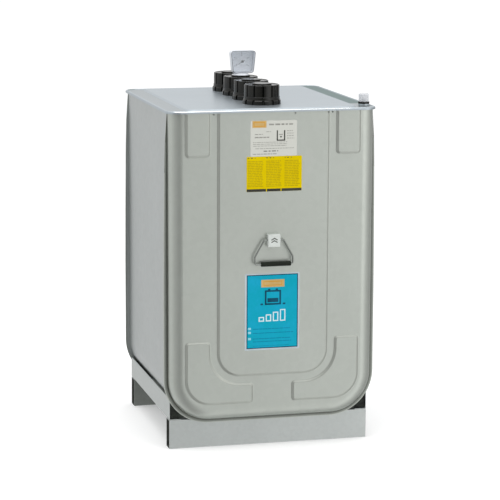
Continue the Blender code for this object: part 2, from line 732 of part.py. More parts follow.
def make_gauge():
    """The level gauge: stem, housing, dial with its spindle, needle and clear cover."""
    y = socket_centres()[GAUGE_SOCKET][1]
    boss_top = LID_SEAT + COLLAR_HEIGHT + CAP_HEIGHT + CAP_BOSS_HEIGHT + 2 * GAP
    stem = turned("gauge_stem", [
        (0.0, 0.0), (GAUGE_STEM_RADIUS, 0.0), (GAUGE_STEM_RADIUS, GAUGE_STEM_FOOT),
        (GAUGE_STEM_TOP_RADIUS, GAUGE_STEM_HEIGHT), (0.0, GAUGE_STEM_HEIGHT),
    ], 16)
    stem_object = add_object("gauge_stem", stem, "gauge_grey")
    stem_object.location = (GAUGE_STEM_X, y, boss_top + GAP)
    base = boss_top + GAUGE_STEM_HEIGHT + 2 * GAP
    back = GAUGE_DEPTH / 2

    housing_form = bmesh.new()
    shapes = [
        (gauge_outline(GAUGE_WALL), back - GAUGE_WALL),
        (gauge_outline(GAUGE_WALL), -back),
        (gauge_outline(0.0), -back),
        (gauge_outline(0.0), back),
    ]
    loft(housing_form, [[(p.x, depth, p.y) for p in shape] for shape, depth in shapes], capped=(True, True))
    housing = add_object("gauge_housing", finish_mesh("gauge_housing", housing_form), "gauge_grey")
    housing.location = (GAUGE_X, y, base)

    dial_back = back - GAUGE_WALL - GAP
    dial_face = dial_back - DIAL_THICKNESS
    needle_back = dial_face - NEEDLE_CLEARANCE
    needle_face = needle_back - NEEDLE_THICKNESS
    dial_form = bmesh.new()
    hub = [p + Vector((0.0, HUB_ABOVE_BOTTOM)) for p in circle(SPINDLE_RADIUS, 12)]
    fill_levels(dial_form, gauge_outline(GAUGE_WALL + DIAL_MARGIN), [], [(hub, 0.0)],
                lambda u, v, level: (u, dial_face, v))
    rim = gauge_outline(GAUGE_WALL + DIAL_MARGIN)
    loft(dial_form, [[(p.x, depth, p.y) for p in rim] for depth in (dial_face, dial_back)],
         capped=(False, True))
    loft(dial_form, [[(p.x, depth, p.y) for p in hub] for depth in (dial_face, needle_face - SPINDLE_STANDS_OUT)],
         capped=(False, True))
    dial = add_object("gauge_dial", finish_mesh("gauge_dial", dial_form), "dial_white")
    dial.location = (GAUGE_X, y, base)

    needle = add_object("gauge_needle", needle_mesh(), "needle_black")
    needle.location = (GAUGE_X, y + (needle_back + needle_face) / 2, base + HUB_ABOVE_BOTTOM)
    needle.rotation_euler.y = -NEEDLE_REST_ANGLE

    cover_form = bmesh.new()
    front = -back - GAP
    cover_shapes = [
        (gauge_outline(0.0), front),
        (gauge_outline(0.0), front - GAUGE_COVER + GAUGE_COVER_EDGE),
        (gauge_outline(GAUGE_COVER_EDGE), front - GAUGE_COVER),
    ]
    loft(cover_form, [[(p.x, depth, p.y) for p in shape] for shape, depth in cover_shapes],
         capped=(True, True))
    cover = add_object("gauge_cover", finish_mesh("gauge_cover", cover_form), "clear_plastic")
    cover.location = (GAUGE_X, y, base)


def needle_mesh():
    """A pointer along +X about its hub's bore, with a short tail."""
    sides = 16
    hub = circle(NEEDLE_HUB_RADIUS, sides, phase=math.pi / sides)
    tip = [Vector((NEEDLE_LENGTH, -NEEDLE_TIP)), Vector((NEEDLE_LENGTH, NEEDLE_TIP))]
    tail = [Vector((-NEEDLE_TAIL, NEEDLE_ROOT)), Vector((-NEEDLE_TAIL, -NEEDLE_ROOT))]
    outline = tip + hub[:sides // 2] + tail + hub[sides // 2:]
    form = bmesh.new()
    half = NEEDLE_THICKNESS / 2
    bore = circle(NEEDLE_BORE, 12)
    for depth in (-half, half):
        fill_levels(form, outline, [], [(bore, 0.0)], lambda u, v, level, depth=depth: (u, depth, v))
    for loop in (outline, bore):
        loft(form, [[(p.x, depth, p.y) for p in loop] for depth in (-half, half)])
    return finish_mesh("gauge_needle", form)


def make_leak_indicator():
    """A float under a clear dome; it rises when liquid reaches the jacket's floor."""
    base_profile = [
        (LEAK_BORE, 0.0), (LEAK_BASE_RADIUS, 0.0), (LEAK_BASE_RADIUS, LEAK_BASE_SHOULDER),
        (LEAK_DOME_RADIUS, LEAK_BASE_HEIGHT), (LEAK_BORE, LEAK_BASE_HEIGHT),
    ]
    base = add_object("leak_indicator_base", turned("leak_indicator_base", base_profile, 20), "black_plastic")
    seat = LID_TOP + GAP
    base.location = (LEAK_X, LEAK_Y, seat)

    inner = LEAK_DOME_RADIUS - LEAK_DOME_WALL
    dome_profile = [
        (0.0, LEAK_DOME_HEIGHT - LEAK_DOME_WALL), (inner, LEAK_DOME_HEIGHT - LEAK_DOME_WALL),
        (inner, 0.0), (LEAK_DOME_RADIUS, 0.0),
        (LEAK_DOME_RADIUS, LEAK_DOME_HEIGHT - LEAK_DOME_EDGE),
        (LEAK_DOME_RADIUS - LEAK_DOME_EDGE, LEAK_DOME_HEIGHT),
        (0.0, LEAK_DOME_HEIGHT),
    ]
    dome = add_object("leak_indicator_dome", turned("leak_indicator_dome", dome_profile, 20), "clear_plastic")
    dome.location = (LEAK_X, LEAK_Y, seat + LEAK_BASE_HEIGHT + GAP)

    float_profile = [
        (0.0, -LEAK_STEM_LENGTH), (LEAK_STEM_RADIUS, -LEAK_STEM_LENGTH), (LEAK_STEM_RADIUS, -GAP),
        (LEAK_BORE + 0.001, 0.0), (LEAK_HEAD_RADIUS, LEAK_HEAD_HEIGHT), (0.0, LEAK_HEAD_HEIGHT),
    ]
    ball = add_object("leak_float", turned("leak_float", float_profile, 12), "float_white")
    ball.location = (LEAK_X, LEAK_Y, seat + LEAK_BASE_HEIGHT + GAP)


def bracket_object(name):
    """A pressed hat of sheet, open at the back, with a hole for the wire in each side."""
    middle = (BRACKET_TOP + BRACKET_BOTTOM) / 2
    half_height = (BRACKET_TOP - BRACKET_BOTTOM) / 2

    def ring(spread, depth):
        outline = rounded_rectangle(BRACKET_HALF_WIDTH + spread, half_height + spread, BRACKET_RADIUS, 2)
        return [(point.x, -depth, middle + point.y) for point in outline]

    form = bmesh.new()
    loft(form, [
        ring(-BRACKET_WALL, BRACKET_DEPTH - BRACKET_WALL),
        ring(BRACKET_FLARE - BRACKET_WALL, GAP),
        ring(BRACKET_FLARE, GAP),
        ring(0.0, BRACKET_DEPTH - BRACKET_EDGE),
        ring(-BRACKET_EDGE, BRACKET_DEPTH),
    ], capped=(True, True))
    bracket = add_object(name, finish_mesh(name, form), "frame_steel")

    bore = turned(name + "_bore", [(0.0, -0.04), (BRACKET_HOLE, -0.04), (BRACKET_HOLE, 0.04), (0.0, 0.04)], 12)
    bore_object = add_object(name + "_bore", bore, "frame_steel")
    bore_object.rotation_euler.y = math.pi / 2
    bore_object.location = (0.0, -HANDLE_STANDOFF, HANDLE_PIVOT_Z)
    cut(bracket, bore_object)
    return bracket, bore_object


def bail_route():
    """Centre line of the bail's wire about its pivot, in X and Z."""
    right = [
        (WIRE_INNER_X, 0.0, 0.0),
        (WIRE_ELBOW_X, 0.0, 0.006),
        (WIRE_WIDE_X, -WIRE_WIDE_DROP, 0.012),
        (WIRE_WIDE_X, -WIRE_GRIP_DROP, 0.006),
    ]
    left = [(-x, z, radius) for x, z, radius in reversed(right)]
    return rounded_outline(right + left, steps=3)


def make_handles():
    """A wire bail with a rubber grip on each panel, hanging from its bracket."""
    route = bail_route()
    wire = bpy.data.curves.new("bail", "CURVE")
    wire.dimensions = "3D"
    wire.bevel_depth = WIRE_RADIUS
    wire.bevel_resolution = 2
    wire.use_fill_caps = True
    spline = wire.splines.new("POLY")
    spline.points.add(len(route) - 1)
    for place, point in zip(spline.points, route):
        place.co = (point.x, 0.0, point.y, 1.0)
    grip = turned("grip", [
        (GRIP_BORE, GRIP_START_X), (GRIP_RADIUS - 0.001, GRIP_START_X), (GRIP_RADIUS, GRIP_START_X + 0.001),
        (GRIP_RADIUS, GRIP_END_X - 0.001), (GRIP_RADIUS - 0.001, GRIP_END_X), (GRIP_BORE, GRIP_END_X),
    ], 16)
    for side, facing, turn in (("front", -1, 0.0), ("rear", 1, math.pi)):
        bracket, cutter = bracket_object(f"{side}_handle_bracket")
        holder = bpy.data.objects.new(f"{side}_handle_holder", None)
        bpy.context.collection.objects.link(holder)
        holder.location = (-facing * HANDLE_X, facing * FIELD_Y, 0.0)
        holder.rotation_euler.z = turn
        for piece in (bracket, cutter):
            piece.parent = holder
        pivot = bpy.data.objects.new(f"{side}_handle_pivot", None)
        bpy.context.collection.objects.link(pivot)
        pivot.location = (-facing * HANDLE_X, facing * PIVOT_Y, HANDLE_PIVOT_Z)
        pivot.rotation_euler.z = turn
        bail = add_object(f"{side}_bail", wire, "wire_zinc")
        bail.parent = pivot
        sleeve = add_object(f"{side}_grip", grip, "grip_rubber")
        sleeve.parent = pivot
        sleeve.location.z = -WIRE_GRIP_DROP
        sleeve.rotation_euler.y = math.pi / 2


def make_label(name, size, finish):
    """A thin plate stuck on the front panel's centre field."""
    half, low, high, shift = size
    outline = [Vector((shift - half, low)), Vector((shift + half, low))]
    outline += [Vector((shift + half, high)), Vector((shift - half, high))]
    front = -FIELD_Y - GAP - LABEL_THICKNESS
    add_object(name, extruded(name, outline, along, front, front + LABEL_THICKNESS), finish)


def main():
    """Build the whole tank."""
    clear_scene()
    MATERIALS.update(make_materials())
    make_beams()
    make_rails()
    make_corner_pads()
    make_side_wrap()
    make_panels()
    make_inner_tank()
    make_lid()
    make_socket_row()
    make_gauge()
    make_leak_indicator()
    make_handles()
    make_label("upper_label", UPPER_LABEL, "label_white")
    make_label("middle_label", MIDDLE_LABEL, "label_yellow")
    make_label("lower_label", LOWER_LABEL, "label_blue")


main()
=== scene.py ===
"""An upright steel-jacketed oil storage tank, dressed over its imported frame.

The frame carries the bodies; the sheet-metal forms, the caps and the printed labels are modelled here.
"""

import json
import logging
import math
import random
from collections.abc import Callable, Sequence
from dataclasses import dataclass, field
from enum import Enum
from typing import NamedTuple, Self

import bmesh
import bpy
from bpy.types import Material, Node, NodeSocket, NodeTree, Object
from mathutils import Matrix, Vector

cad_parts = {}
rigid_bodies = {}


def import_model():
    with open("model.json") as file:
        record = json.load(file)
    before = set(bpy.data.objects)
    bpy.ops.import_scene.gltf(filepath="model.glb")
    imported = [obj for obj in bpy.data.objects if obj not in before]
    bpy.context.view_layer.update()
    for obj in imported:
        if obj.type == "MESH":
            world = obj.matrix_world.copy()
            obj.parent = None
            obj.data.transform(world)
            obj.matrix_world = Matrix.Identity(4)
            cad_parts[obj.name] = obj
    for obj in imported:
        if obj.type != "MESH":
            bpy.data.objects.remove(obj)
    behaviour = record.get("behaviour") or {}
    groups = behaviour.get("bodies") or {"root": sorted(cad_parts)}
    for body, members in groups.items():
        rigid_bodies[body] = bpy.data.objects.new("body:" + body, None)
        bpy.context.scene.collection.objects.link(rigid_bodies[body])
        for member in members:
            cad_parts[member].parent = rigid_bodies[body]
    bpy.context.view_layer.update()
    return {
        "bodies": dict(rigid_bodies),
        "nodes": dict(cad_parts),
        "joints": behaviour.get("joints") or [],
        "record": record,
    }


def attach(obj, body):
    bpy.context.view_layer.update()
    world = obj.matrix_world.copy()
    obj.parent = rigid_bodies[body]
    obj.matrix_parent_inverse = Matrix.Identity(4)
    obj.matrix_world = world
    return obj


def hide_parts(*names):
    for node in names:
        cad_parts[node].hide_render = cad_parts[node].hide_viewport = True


Pair = tuple[float, float]
Triple = tuple[float, float, float]
ORIGIN: Triple = (0.0, 0.0, 0.0)
log = logging.getLogger("oil_tank")

FRONT_FACE = 0.373              # outer face of the panels' raised fields, from the middle of the tank
LID_TOP = 1.1450                # the lid's level strip
LID_SEAT = 1.1475               # the lid's raised field, which the collars stand on
BEAM_PLACE = 0.301              # the cross beams' middles, before and behind the middle of the tank
BEAM_HEIGHT = 0.050             # the middle of the cross beams over the floor
SEAT_GAP = 0.0003               # what a fitted piece stands off the piece that carries it
INK_GAP = 0.00006               # what print stands off its ground, for each layer of it


# ---------------------------------------------------------------- bench: modelling by operators


class Domain(Enum):
    """What a selection is made of."""

    VERTS = (True, False, False)
    EDGES = (False, True, False)
    FACES = (False, False, True)


class Facing(Enum):
    """The way that a flat start looks, as its turn about X, Y and Z."""

    UP = (0.0, 0.0, 0.0)
    FRONT = (math.pi / 2, 0.0, 0.0)
    RIGHT = (math.pi / 2, 0.0, math.pi / 2)


class Axis(Enum):
    """A direction of the frame: across, along or up the tank."""

    X = (1.0, 0.0, 0.0)
    Y = (0.0, 1.0, 0.0)
    Z = (0.0, 0.0, 1.0)


class Joint(Enum):
    """What a tool piece does to a workpiece."""

    UNITE = "UNION"
    CUT = "DIFFERENCE"


class Spot(NamedTuple):
    """What a selection test can ask of a vertex, an edge or a face."""

    place: Vector
    normal: Vector
    run: Vector
    fold: float
    rim: bool


def clear_selection() -> None:
    """Leave edit mode and deselect everything."""
    if bpy.context.object and bpy.context.object.mode != "OBJECT":
        bpy.ops.object.mode_set(mode="OBJECT")
    bpy.ops.object.select_all(action="DESELECT")


def near(value: float, target: float, slack: float = 1e-5) -> bool:
    """Tell whether two lengths are the same to within a slack."""
    return abs(value - target) <= slack


class Workpiece:
    """One mesh on the bench, shaped by operators with its selection made in code."""

    def __init__(self, name: str, obj: Object) -> None:
        """Take an object onto the bench.

        Args:
            name: The piece's name.
            obj: The object, which is made single, unturned and unscaled.
        """
        self.obj = obj
        obj.name = name
        obj.data.name = name
        self.rest()
        bpy.ops.object.transform_apply(location=True, rotation=True, scale=True)

    @classmethod
    def plate(cls, name: str, low: Pair, high: Pair, level: float, facing: Facing) -> Self:
        """Start from a rectangle.

        Args:
            name: The piece's name.
            low: Its lowest corner in its own plane.
            high: Its highest corner in its own plane.
            level: How far its plane is from the middle, along the way that it looks.
            facing: The way that it looks.

        Returns:
            The new workpiece.
        """
        clear_selection()
        u, v = (low[0] + high[0]) / 2, (low[1] + high[1]) / 2
        centre = {Facing.UP: (u, v, level), Facing.FRONT: (u, -level, v),
                  Facing.RIGHT: (level, u, v)}[facing]
        bpy.ops.mesh.primitive_plane_add(size=1.0, location=centre, rotation=facing.value)
        obj = bpy.context.object
        obj.scale = (high[0] - low[0], high[1] - low[1], 1.0)
        return cls(name, obj)

    @classmethod
    def mark(cls, name: str, centre: Triple, size: Pair, roll: float = 0.0) -> Self:
        """Start from a small rectangle that looks to the front, turned in its own plane.

        Args:
            name: The piece's name.
            centre: Its middle.
            size: Its width and height before it is turned.
            roll: Its turn about Y, in radians.

        Returns:
            The new workpiece.
        """
        clear_selection()
        bpy.ops.mesh.primitive_plane_add(size=1.0, location=centre, rotation=(math.pi / 2, roll, 0.0))
        obj = bpy.context.object
        obj.scale = (size[0], size[1], 1.0)
        return cls(name, obj)

    @classmethod
    def from_node(cls, name: str, node: Object) -> Self:
        """Start from a merged copy of a CAD node's mesh.

        Args:
            name: The piece's name.
            node: The CAD node.

        Returns:
            The new workpiece.
        """
        clear_selection()
        obj = bpy.data.objects.new(name, node.data.copy())
        obj.data.materials.clear()
        bpy.context.scene.collection.objects.link(obj)
        work = cls(name, obj)
        work.take_all()
        bpy.ops.mesh.remove_doubles(threshold=1e-5)
        return work

    @classmethod
    def disc(cls, name: str, radius: float, centre: Triple, sides: int, facing: Facing = Facing.UP) -> Self:
        """Start from a filled circle.

        Args:
            name: The piece's name.
            radius: The circle's radius.
            centre: Its middle.
            sides: How many corners it has.
            facing: The way that it looks.

        Returns:
            The new workpiece.
        """
        clear_selection()
        bpy.ops.mesh.primitive_circle_add(vertices=sides, radius=radius, fill_type="NGON",
                                          location=centre, rotation=facing.value)
        return cls(name, bpy.context.object)

    def rest(self) -> None:
        """Select this piece alone, in object mode."""
        clear_selection()
        self.obj.select_set(True)
        bpy.context.view_layer.objects.active = self.obj

    def edit(self) -> None:
        """Go into edit mode on this piece."""
        if self.obj.mode != "EDIT":
            self.rest()
            bpy.ops.object.mode_set(mode="EDIT")

    def pick(self, domain: Domain, test: Callable[[Spot], bool]) -> int:
        """Select what passes a test.

        Args:
            domain: Vertices, edges or faces.
            test: Says of each whether it is selected.

        Returns:
            How many were selected.
        """
        self.edit()
        bpy.context.tool_settings.mesh_select_mode = domain.value
        form = bmesh.from_edit_mesh(self.obj.data)
        form.normal_update()
        still = Vector(ORIGIN)
        for item in (*form.verts, *form.edges, *form.faces):
            item.select = False
        if domain is Domain.VERTS:
            spots = [(v, Spot(v.co.copy(), v.normal, still, 0.0, v.is_boundary)) for v in form.verts]
        elif domain is Domain.EDGES:
            spots = []
            for edge in form.edges:
                start, end = edge.verts[0].co, edge.verts[1].co
                spots.append((edge, Spot((start + end) / 2, still, (end - start).normalized(),
                                         edge.calc_face_angle(0.0), edge.is_boundary)))
        else:
            spots = [(f, Spot(f.calc_center_median(), f.normal, still, 0.0, False)) for f in form.faces]
        count = 0
        for item, spot in spots:
            if test(spot):
                item.select_set(True)
                count += 1
        bmesh.update_edit_mesh(self.obj.data)
        return count

    def take(self, domain: Domain) -> Self:
        """Select all vertices, edges or faces."""
        self.pick(domain, lambda s: True)
        return self

    def take_all(self) -> Self:
        """Go into edit mode and select the whole mesh.

        Returns:
            This workpiece.
        """
        self.edit()
        bpy.ops.mesh.select_all(action="SELECT")
        return self

    def extrude(self, *offsets: Triple) -> Self:
        """Extrude the selection along each offset in turn.

        Args:
            offsets: The offsets.

        Returns:
            This workpiece.
        """
        for offset in offsets:
            bpy.ops.mesh.extrude_region_move(TRANSFORM_OT_translate={"value": offset})
        return self

    def inset(self, *steps: Pair) -> Self:
        """Inset the selection by each (thickness, depth) in turn.

        Args:
            steps: The thicknesses and depths.

        Returns:
            This workpiece.
        """
        for thickness, depth in steps:
            bpy.ops.mesh.inset(thickness=thickness, depth=depth, use_boundary=True, use_even_offset=True)
        return self

    def roll(self, width: float, rise: float, steps: int) -> Self:
        """Round the selected face's edge as a quarter of an ellipse of this width and rise.

        Args:
            width: How far the round reaches inwards.
            rise: How high it rises.
            steps: Faces along it.

        Returns:
            This workpiece.
        """
        for step in range(steps):
            start, end = (math.pi / 2 * (step + add) / steps for add in (0, 1))
            self.inset((width * (math.cos(start) - math.cos(end)),
                        rise * (math.sin(end) - math.sin(start))))
        return self

    def shift(self, offset: Triple) -> Self:
        """Move the selection."""
        bpy.ops.transform.translate(value=offset)
        return self

    def stretch(self, factor: Triple, centre: Triple) -> Self:
        """Scale the selection about a point."""
        bpy.ops.transform.resize(value=factor, center_override=centre)
        return self

    def round_corners(self, radius: float, steps: int) -> Self:
        """Turn the selected corners of a flat outline into arcs.

        Args:
            radius: The arcs' radius.
            steps: Edges in each arc.

        Returns:
            This workpiece.
        """
        bpy.ops.mesh.bevel(offset=radius, offset_type="OFFSET", segments=steps, profile=0.5,
                           affect="VERTICES", clamp_overlap=False)
        return self

    def soften(self, width: float, steps: int) -> Self:
        """Bevel the selected edges.

        Args:
            width: The bevel's width.
            steps: Faces across it.

        Returns:
            This workpiece.
        """
        bpy.ops.mesh.bevel(offset=width, offset_type="OFFSET", segments=steps, profile=0.5,
                           affect="EDGES", clamp_overlap=True)
        return self

    def slice(self, axis: Axis, level: float, keep_below: bool = False) -> Self:
        """Cut right through with a plane, and drop what is above it if asked.

        Args:
            axis: The way that the plane faces.
            level: Where it stands on that axis.
            keep_below: Whether only what lies below it is kept.

        Returns:
            This workpiece.
        """
        self.take_all()
        bpy.ops.mesh.bisect(plane_co=tuple(level * part for part in axis.value), plane_no=axis.value,
                            clear_outer=keep_below, use_fill=False)
        return self

    def drop_faces(self, test: Callable[[Spot], bool]) -> Self:
        """Delete the faces that pass a test.

        Args:
            test: Says of each face whether it goes.

        Returns:
            This workpiece.
        """
        if self.pick(Domain.FACES, test):
            bpy.ops.mesh.delete(type="FACE")
        return self

    def close(self) -> Self:
        """Fill the selected edges with a face."""
        bpy.ops.mesh.edge_face_add()
        return self

    def close_rim(self) -> Self:
        """Fill the open rim with a face."""
        self.pick(Domain.EDGES, lambda s: s.rim)
        return self.close()

    def tidy(self, distance: float = 1e-5) -> Self:
        """Merge doubled vertices and turn every face outwards.

        Args:
            distance: How close doubled vertices lie.

        Returns:
            This workpiece.
        """
        self.take_all()
        bpy.ops.mesh.remove_doubles(threshold=distance)
        bpy.ops.mesh.normals_make_consistent(inside=False)
        return self

    def modify(self, kind: str, **settings: object) -> Self:
        """Apply one modifier of a kind with its settings.

        Args:
            kind: The modifier's type.
            settings: Its settings by name.

        Returns:
            This workpiece.
        """
        self.rest()
        modifier = self.obj.modifiers.new(kind.lower(), kind)
        for name, value in settings.items():
            setattr(modifier, name, value)
        bpy.ops.object.modifier_apply(modifier=modifier.name)
        return self

    def wall(self, thickness: float, inwards: bool = True) -> Self:
        """Give an open sheet its thickness."""
        return self.modify("SOLIDIFY", thickness=thickness, offset=-1.0 if inwards else 1.0,
                           use_even_offset=True)

    def ease_edges(self, width: float, steps: int = 2, angle: float = 40.0) -> Self:
        """Round every edge that folds by more than an angle in degrees."""
        return self.modify("BEVEL", width=width, segments=steps, limit_method="ANGLE",
                           angle_limit=math.radians(angle))

    def join(self, tool: "Workpiece", joint: Joint) -> Self:
        """Unite this piece with a tool piece, or cut it with one, and use the tool up.

        Args:
            tool: The tool piece.
            joint: What it does.

        Returns:
            This workpiece.
        """
        self.modify("BOOLEAN", operation=joint.value, solver="EXACT", object=tool.obj)
        bpy.data.objects.remove(tool.obj, do_unlink=True)
        return self

    def absorb(self, *others: "Workpiece") -> Self:
        """Take other pieces into this one as they are.

        Args:
            others: The pieces.

        Returns:
            This workpiece.
        """
        self.rest()
        for other in others:
            other.obj.select_set(True)
        bpy.ops.object.join()
        return self

    def smooth(self, angle: float = 30.0, even: bool = False) -> Self:
        """Shade smooth below an angle; even keeps flat faces flat beside their round edges.

        Args:
            angle: The angle in degrees.
            even: Whether flat faces keep an even shade.

        Returns:
            This workpiece.
        """
        self.rest()
        bpy.ops.object.shade_smooth_by_angle(angle=math.radians(angle))
        return self.modify("WEIGHTED_NORMAL", keep_sharp=True, weight=100) if even else self

    def paint(self, material: Material, test: Callable[[Spot], bool], base: Material) -> Self:
        """Give the faces that pass a test a finish of their own.

        Args:
            material: Their finish.
            test: Says of each face whether it gets the finish.
            base: The finish of all the others.

        Returns:
            This workpiece.
        """
        self.rest()
        if not self.obj.data.materials:
            self.obj.data.materials.append(base)
        self.obj.data.materials.append(material)
        place = len(self.obj.data.materials) - 1
        still = Vector(ORIGIN)
        for face in self.obj.data.polygons:
            if test(Spot(face.center, face.normal, still, 0.0, False)):
                face.material_index = place
        return self

    def copy(self, name: str) -> "Workpiece":
        """Make a copy with its own mesh.

        Args:
            name: The copy's name.

        Returns:
            The copy.
        """
        self.rest()
        bpy.ops.object.duplicate(linked=False)
        return Workpiece(name, bpy.context.object)

    def turn(self, angle: float, axis: Axis, centre: Triple = ORIGIN) -> Self:
        """Turn the whole piece about an axis; the operator turns against the usual sense.

        Args:
            angle: The angle in radians.
            axis: The axis.
            centre: A point of the axis.

        Returns:
            This workpiece.
        """
        self.take_all()
        bpy.ops.transform.rotate(value=angle, orient_axis=axis.name, center_override=centre)
        return self

    def half_turn(self) -> Self:
        """Turn the whole piece to the other side of the tank."""
        return self.turn(math.pi, Axis.Z)

    def fit(self, body: str, material: Material, slot: str = "", replaces: Sequence[str] = ()) -> Object:
        """Finish the piece and hang it on a body of the frame.

        Args:
            body: The body that it rides on.
            material: Its finish.
            slot: The record's material slot that the finish belongs to; not used.
            replaces: The CAD nodes that it stands for.

        Returns:
            The finished object.
        """
        self.rest()
        if not self.obj.data.materials:
            self.obj.data.materials.append(material)
        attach(self.obj, body)
        if replaces:
            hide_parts(*replaces)
        log.info("%s: %d faces on %s", self.obj.name, len(self.obj.data.polygons), body)
        return self.obj


# ---------------------------------------------------------------- finishes


def linear(colour: str) -> tuple[float, float, float, float]:
    """Turn an sRGB hex colour such as "#8a8f8c" into linear RGBA.

    Args:
        colour: The colour.

    Returns:
        Its linear red, green and blue, and full cover.
    """
    channels = []
    for start in (1, 3, 5):
        value = int(colour[start:start + 2], 16) / 255
        channels.append(value / 12.92 if value <= 0.04045 else ((value + 0.055) / 1.055) ** 2.4)
    return (*channels, 1.0)


def add_node(tree: NodeTree, kind: str, settings: dict | None = None,
             inputs: dict | None = None, stops: Sequence[tuple[float, tuple]] = ()) -> Node:
    """Add one node with its settings and links.

    Args:
        tree: The node tree.
        kind: The node's type name.
        settings: Attributes to set on it.
        inputs: A value, or an output socket to link, for each input by name or number.
        stops: Positions and colours of a colour ramp, if it is one.

    Returns:
        The node.
    """
    node = tree.nodes.new(kind)
    for name, value in (settings or {}).items():
        setattr(node, name, value)
    for key, value in (inputs or {}).items():
        if isinstance(value, NodeSocket):
            tree.links.new(value, node.inputs[key])
        else:
            node.inputs[key].default_value = value
    for index, (position, colour) in enumerate(stops):
        elements = node.color_ramp.elements
        stop = elements[index] if index < len(elements) else elements.new(position)
        stop.position = position
        stop.color = colour
    return node


def start_material(name: str) -> tuple[NodeTree, NodeSocket, Material]:
    """Start an empty material.

    Args:
        name: The material's name.

    Returns:
        Its node tree, the Object coordinates and the material.
    """
    material = bpy.data.materials.new(name)
    material.use_nodes = True
    tree = material.node_tree
    tree.nodes.clear()
    where = add_node(tree, "ShaderNodeTexCoord").outputs["Object"]
    return tree, where, material


def finish_material(tree: NodeTree, shader: Node) -> None:
    """Lead the shader to the material's output."""
    add_node(tree, "ShaderNodeOutputMaterial", inputs={"Surface": shader.outputs[0]})


@dataclass(frozen=True)
class ZincCoatedSheet:
    """Galvanised steel sheet: zinc crystals give a faint patchwork, and rolling a soft, even sheen."""

    name: str
    light: str
    dark: str
    roughness: float
    metallic: float = 0.85
    crystal: float = 0.016      # metres; drawn coarser than the real 5 to 10 mm so that it shows
    mottle: float = 0.30        # how much the crystals differ in tone
    ripple: float = 0.06        # strength of the sheet's slow waviness
    grain: float = 0.010        # strength of the rolled sheet's fine grain
    glance: str = "#ffffff"     # tint of what it mirrors when seen almost edge on

    def material(self) -> Material:
        """Make the sheet's material.

        Returns:
            A metal whose tone and gloss change a little from crystal to crystal.
        """
        tree, where, material = start_material(self.name)
        crystals = add_node(tree, "ShaderNodeTexVoronoi", {"feature": "F1"},
                            {"Vector": where, "Scale": 1.0 / self.crystal, "Randomness": 1.0})
        tone = add_node(tree, "ShaderNodeSeparateColor", inputs={"Color": crystals.outputs["Color"]})
        drift = add_node(tree, "ShaderNodeTexNoise", inputs={"Vector": where, "Scale": 3.5, "Detail": 4.0,
                                                             "Roughness": 0.6})
        mixed = add_node(tree, "ShaderNodeMath", {"operation": "MULTIPLY_ADD"},
                         {0: tone.outputs["Red"], 1: self.mottle, 2: drift.outputs["Fac"]})
        ramp = add_node(tree, "ShaderNodeValToRGB", inputs={"Fac": mixed.outputs[0]},
                        stops=((0.25, linear(self.dark)), (0.95, linear(self.light))))
        gloss = add_node(tree, "ShaderNodeMapRange",
                         inputs={"Value": tone.outputs["Green"],
                                 "To Min": self.roughness - 0.06 * self.mottle,
                                 "To Max": self.roughness + 0.06 * self.mottle})
        wave = add_node(tree, "ShaderNodeTexNoise", inputs={"Vector": where, "Scale": 5.0, "Detail": 1.0})
        slow = add_node(tree, "ShaderNodeBump", inputs={"Strength": self.ripple, "Distance": 0.01,
                                                        "Height": wave.outputs["Fac"]})
        grain = add_node(tree, "ShaderNodeTexNoise", inputs={"Vector": where, "Scale": 700.0,
                                                             "Detail": 2.0})
        fine = add_node(tree, "ShaderNodeBump", inputs={"Strength": self.grain, "Distance": 0.0004,
                                                        "Height": grain.outputs["Fac"],
                                                        "Normal": slow.outputs["Normal"]})
        shader = add_node(tree, "ShaderNodeBsdfPrincipled", inputs={
            "Base Color": ramp.outputs["Color"], "Metallic": self.metallic,
            "Specular Tint": linear(self.glance), "Roughness": gloss.outputs["Result"],
            "Normal": fine.outputs["Normal"]})
        finish_material(tree, shader)
        return material


@dataclass(frozen=True)
class MouldedPlastic:
    """Injection-moulded plastic: an even body colour with the mould's fine texture and a little wear."""

    name: str
    body: str
    worn: str
    roughness: float
    ior: float = 1.49
    grain: float = 0.0012       # metres between the mould texture's pits, coarser than the real 0.3 mm
    depth: float = 0.12
    shine: float = 0.5

    def material(self) -> Material:
        """Make the plastic's material.

        Returns:
            A dielectric with a faint texture and slightly uneven gloss.
        """
        tree, where, material = start_material(self.name)
        cloud = add_node(tree, "ShaderNodeTexNoise", inputs={"Vector": where, "Scale": 45.0, "Detail": 5.0})
        ramp = add_node(tree, "ShaderNodeValToRGB", inputs={"Fac": cloud.outputs["Fac"]},
                        stops=((0.35, linear(self.body)), (0.75, linear(self.worn))))
        gloss = add_node(tree, "ShaderNodeMapRange",
                         inputs={"Value": cloud.outputs["Fac"], "From Min": 0.3, "From Max": 0.7,
                                 "To Min": self.roughness - 0.06, "To Max": self.roughness + 0.08})
        pits = add_node(tree, "ShaderNodeTexNoise", inputs={"Vector": where, "Scale": 1.0 / self.grain,
                                                            "Detail": 2.0})
        bump = add_node(tree, "ShaderNodeBump", inputs={"Strength": self.depth, "Distance": 0.0005,
                                                        "Height": pits.outputs["Fac"]})
        shader = add_node(tree, "ShaderNodeBsdfPrincipled", inputs={
            "Base Color": ramp.outputs["Color"], "Roughness": gloss.outputs["Result"], "IOR": self.ior,
            "Specular IOR Level": self.shine, "Normal": bump.outputs["Normal"]})
        finish_material(tree, shader)
        return material


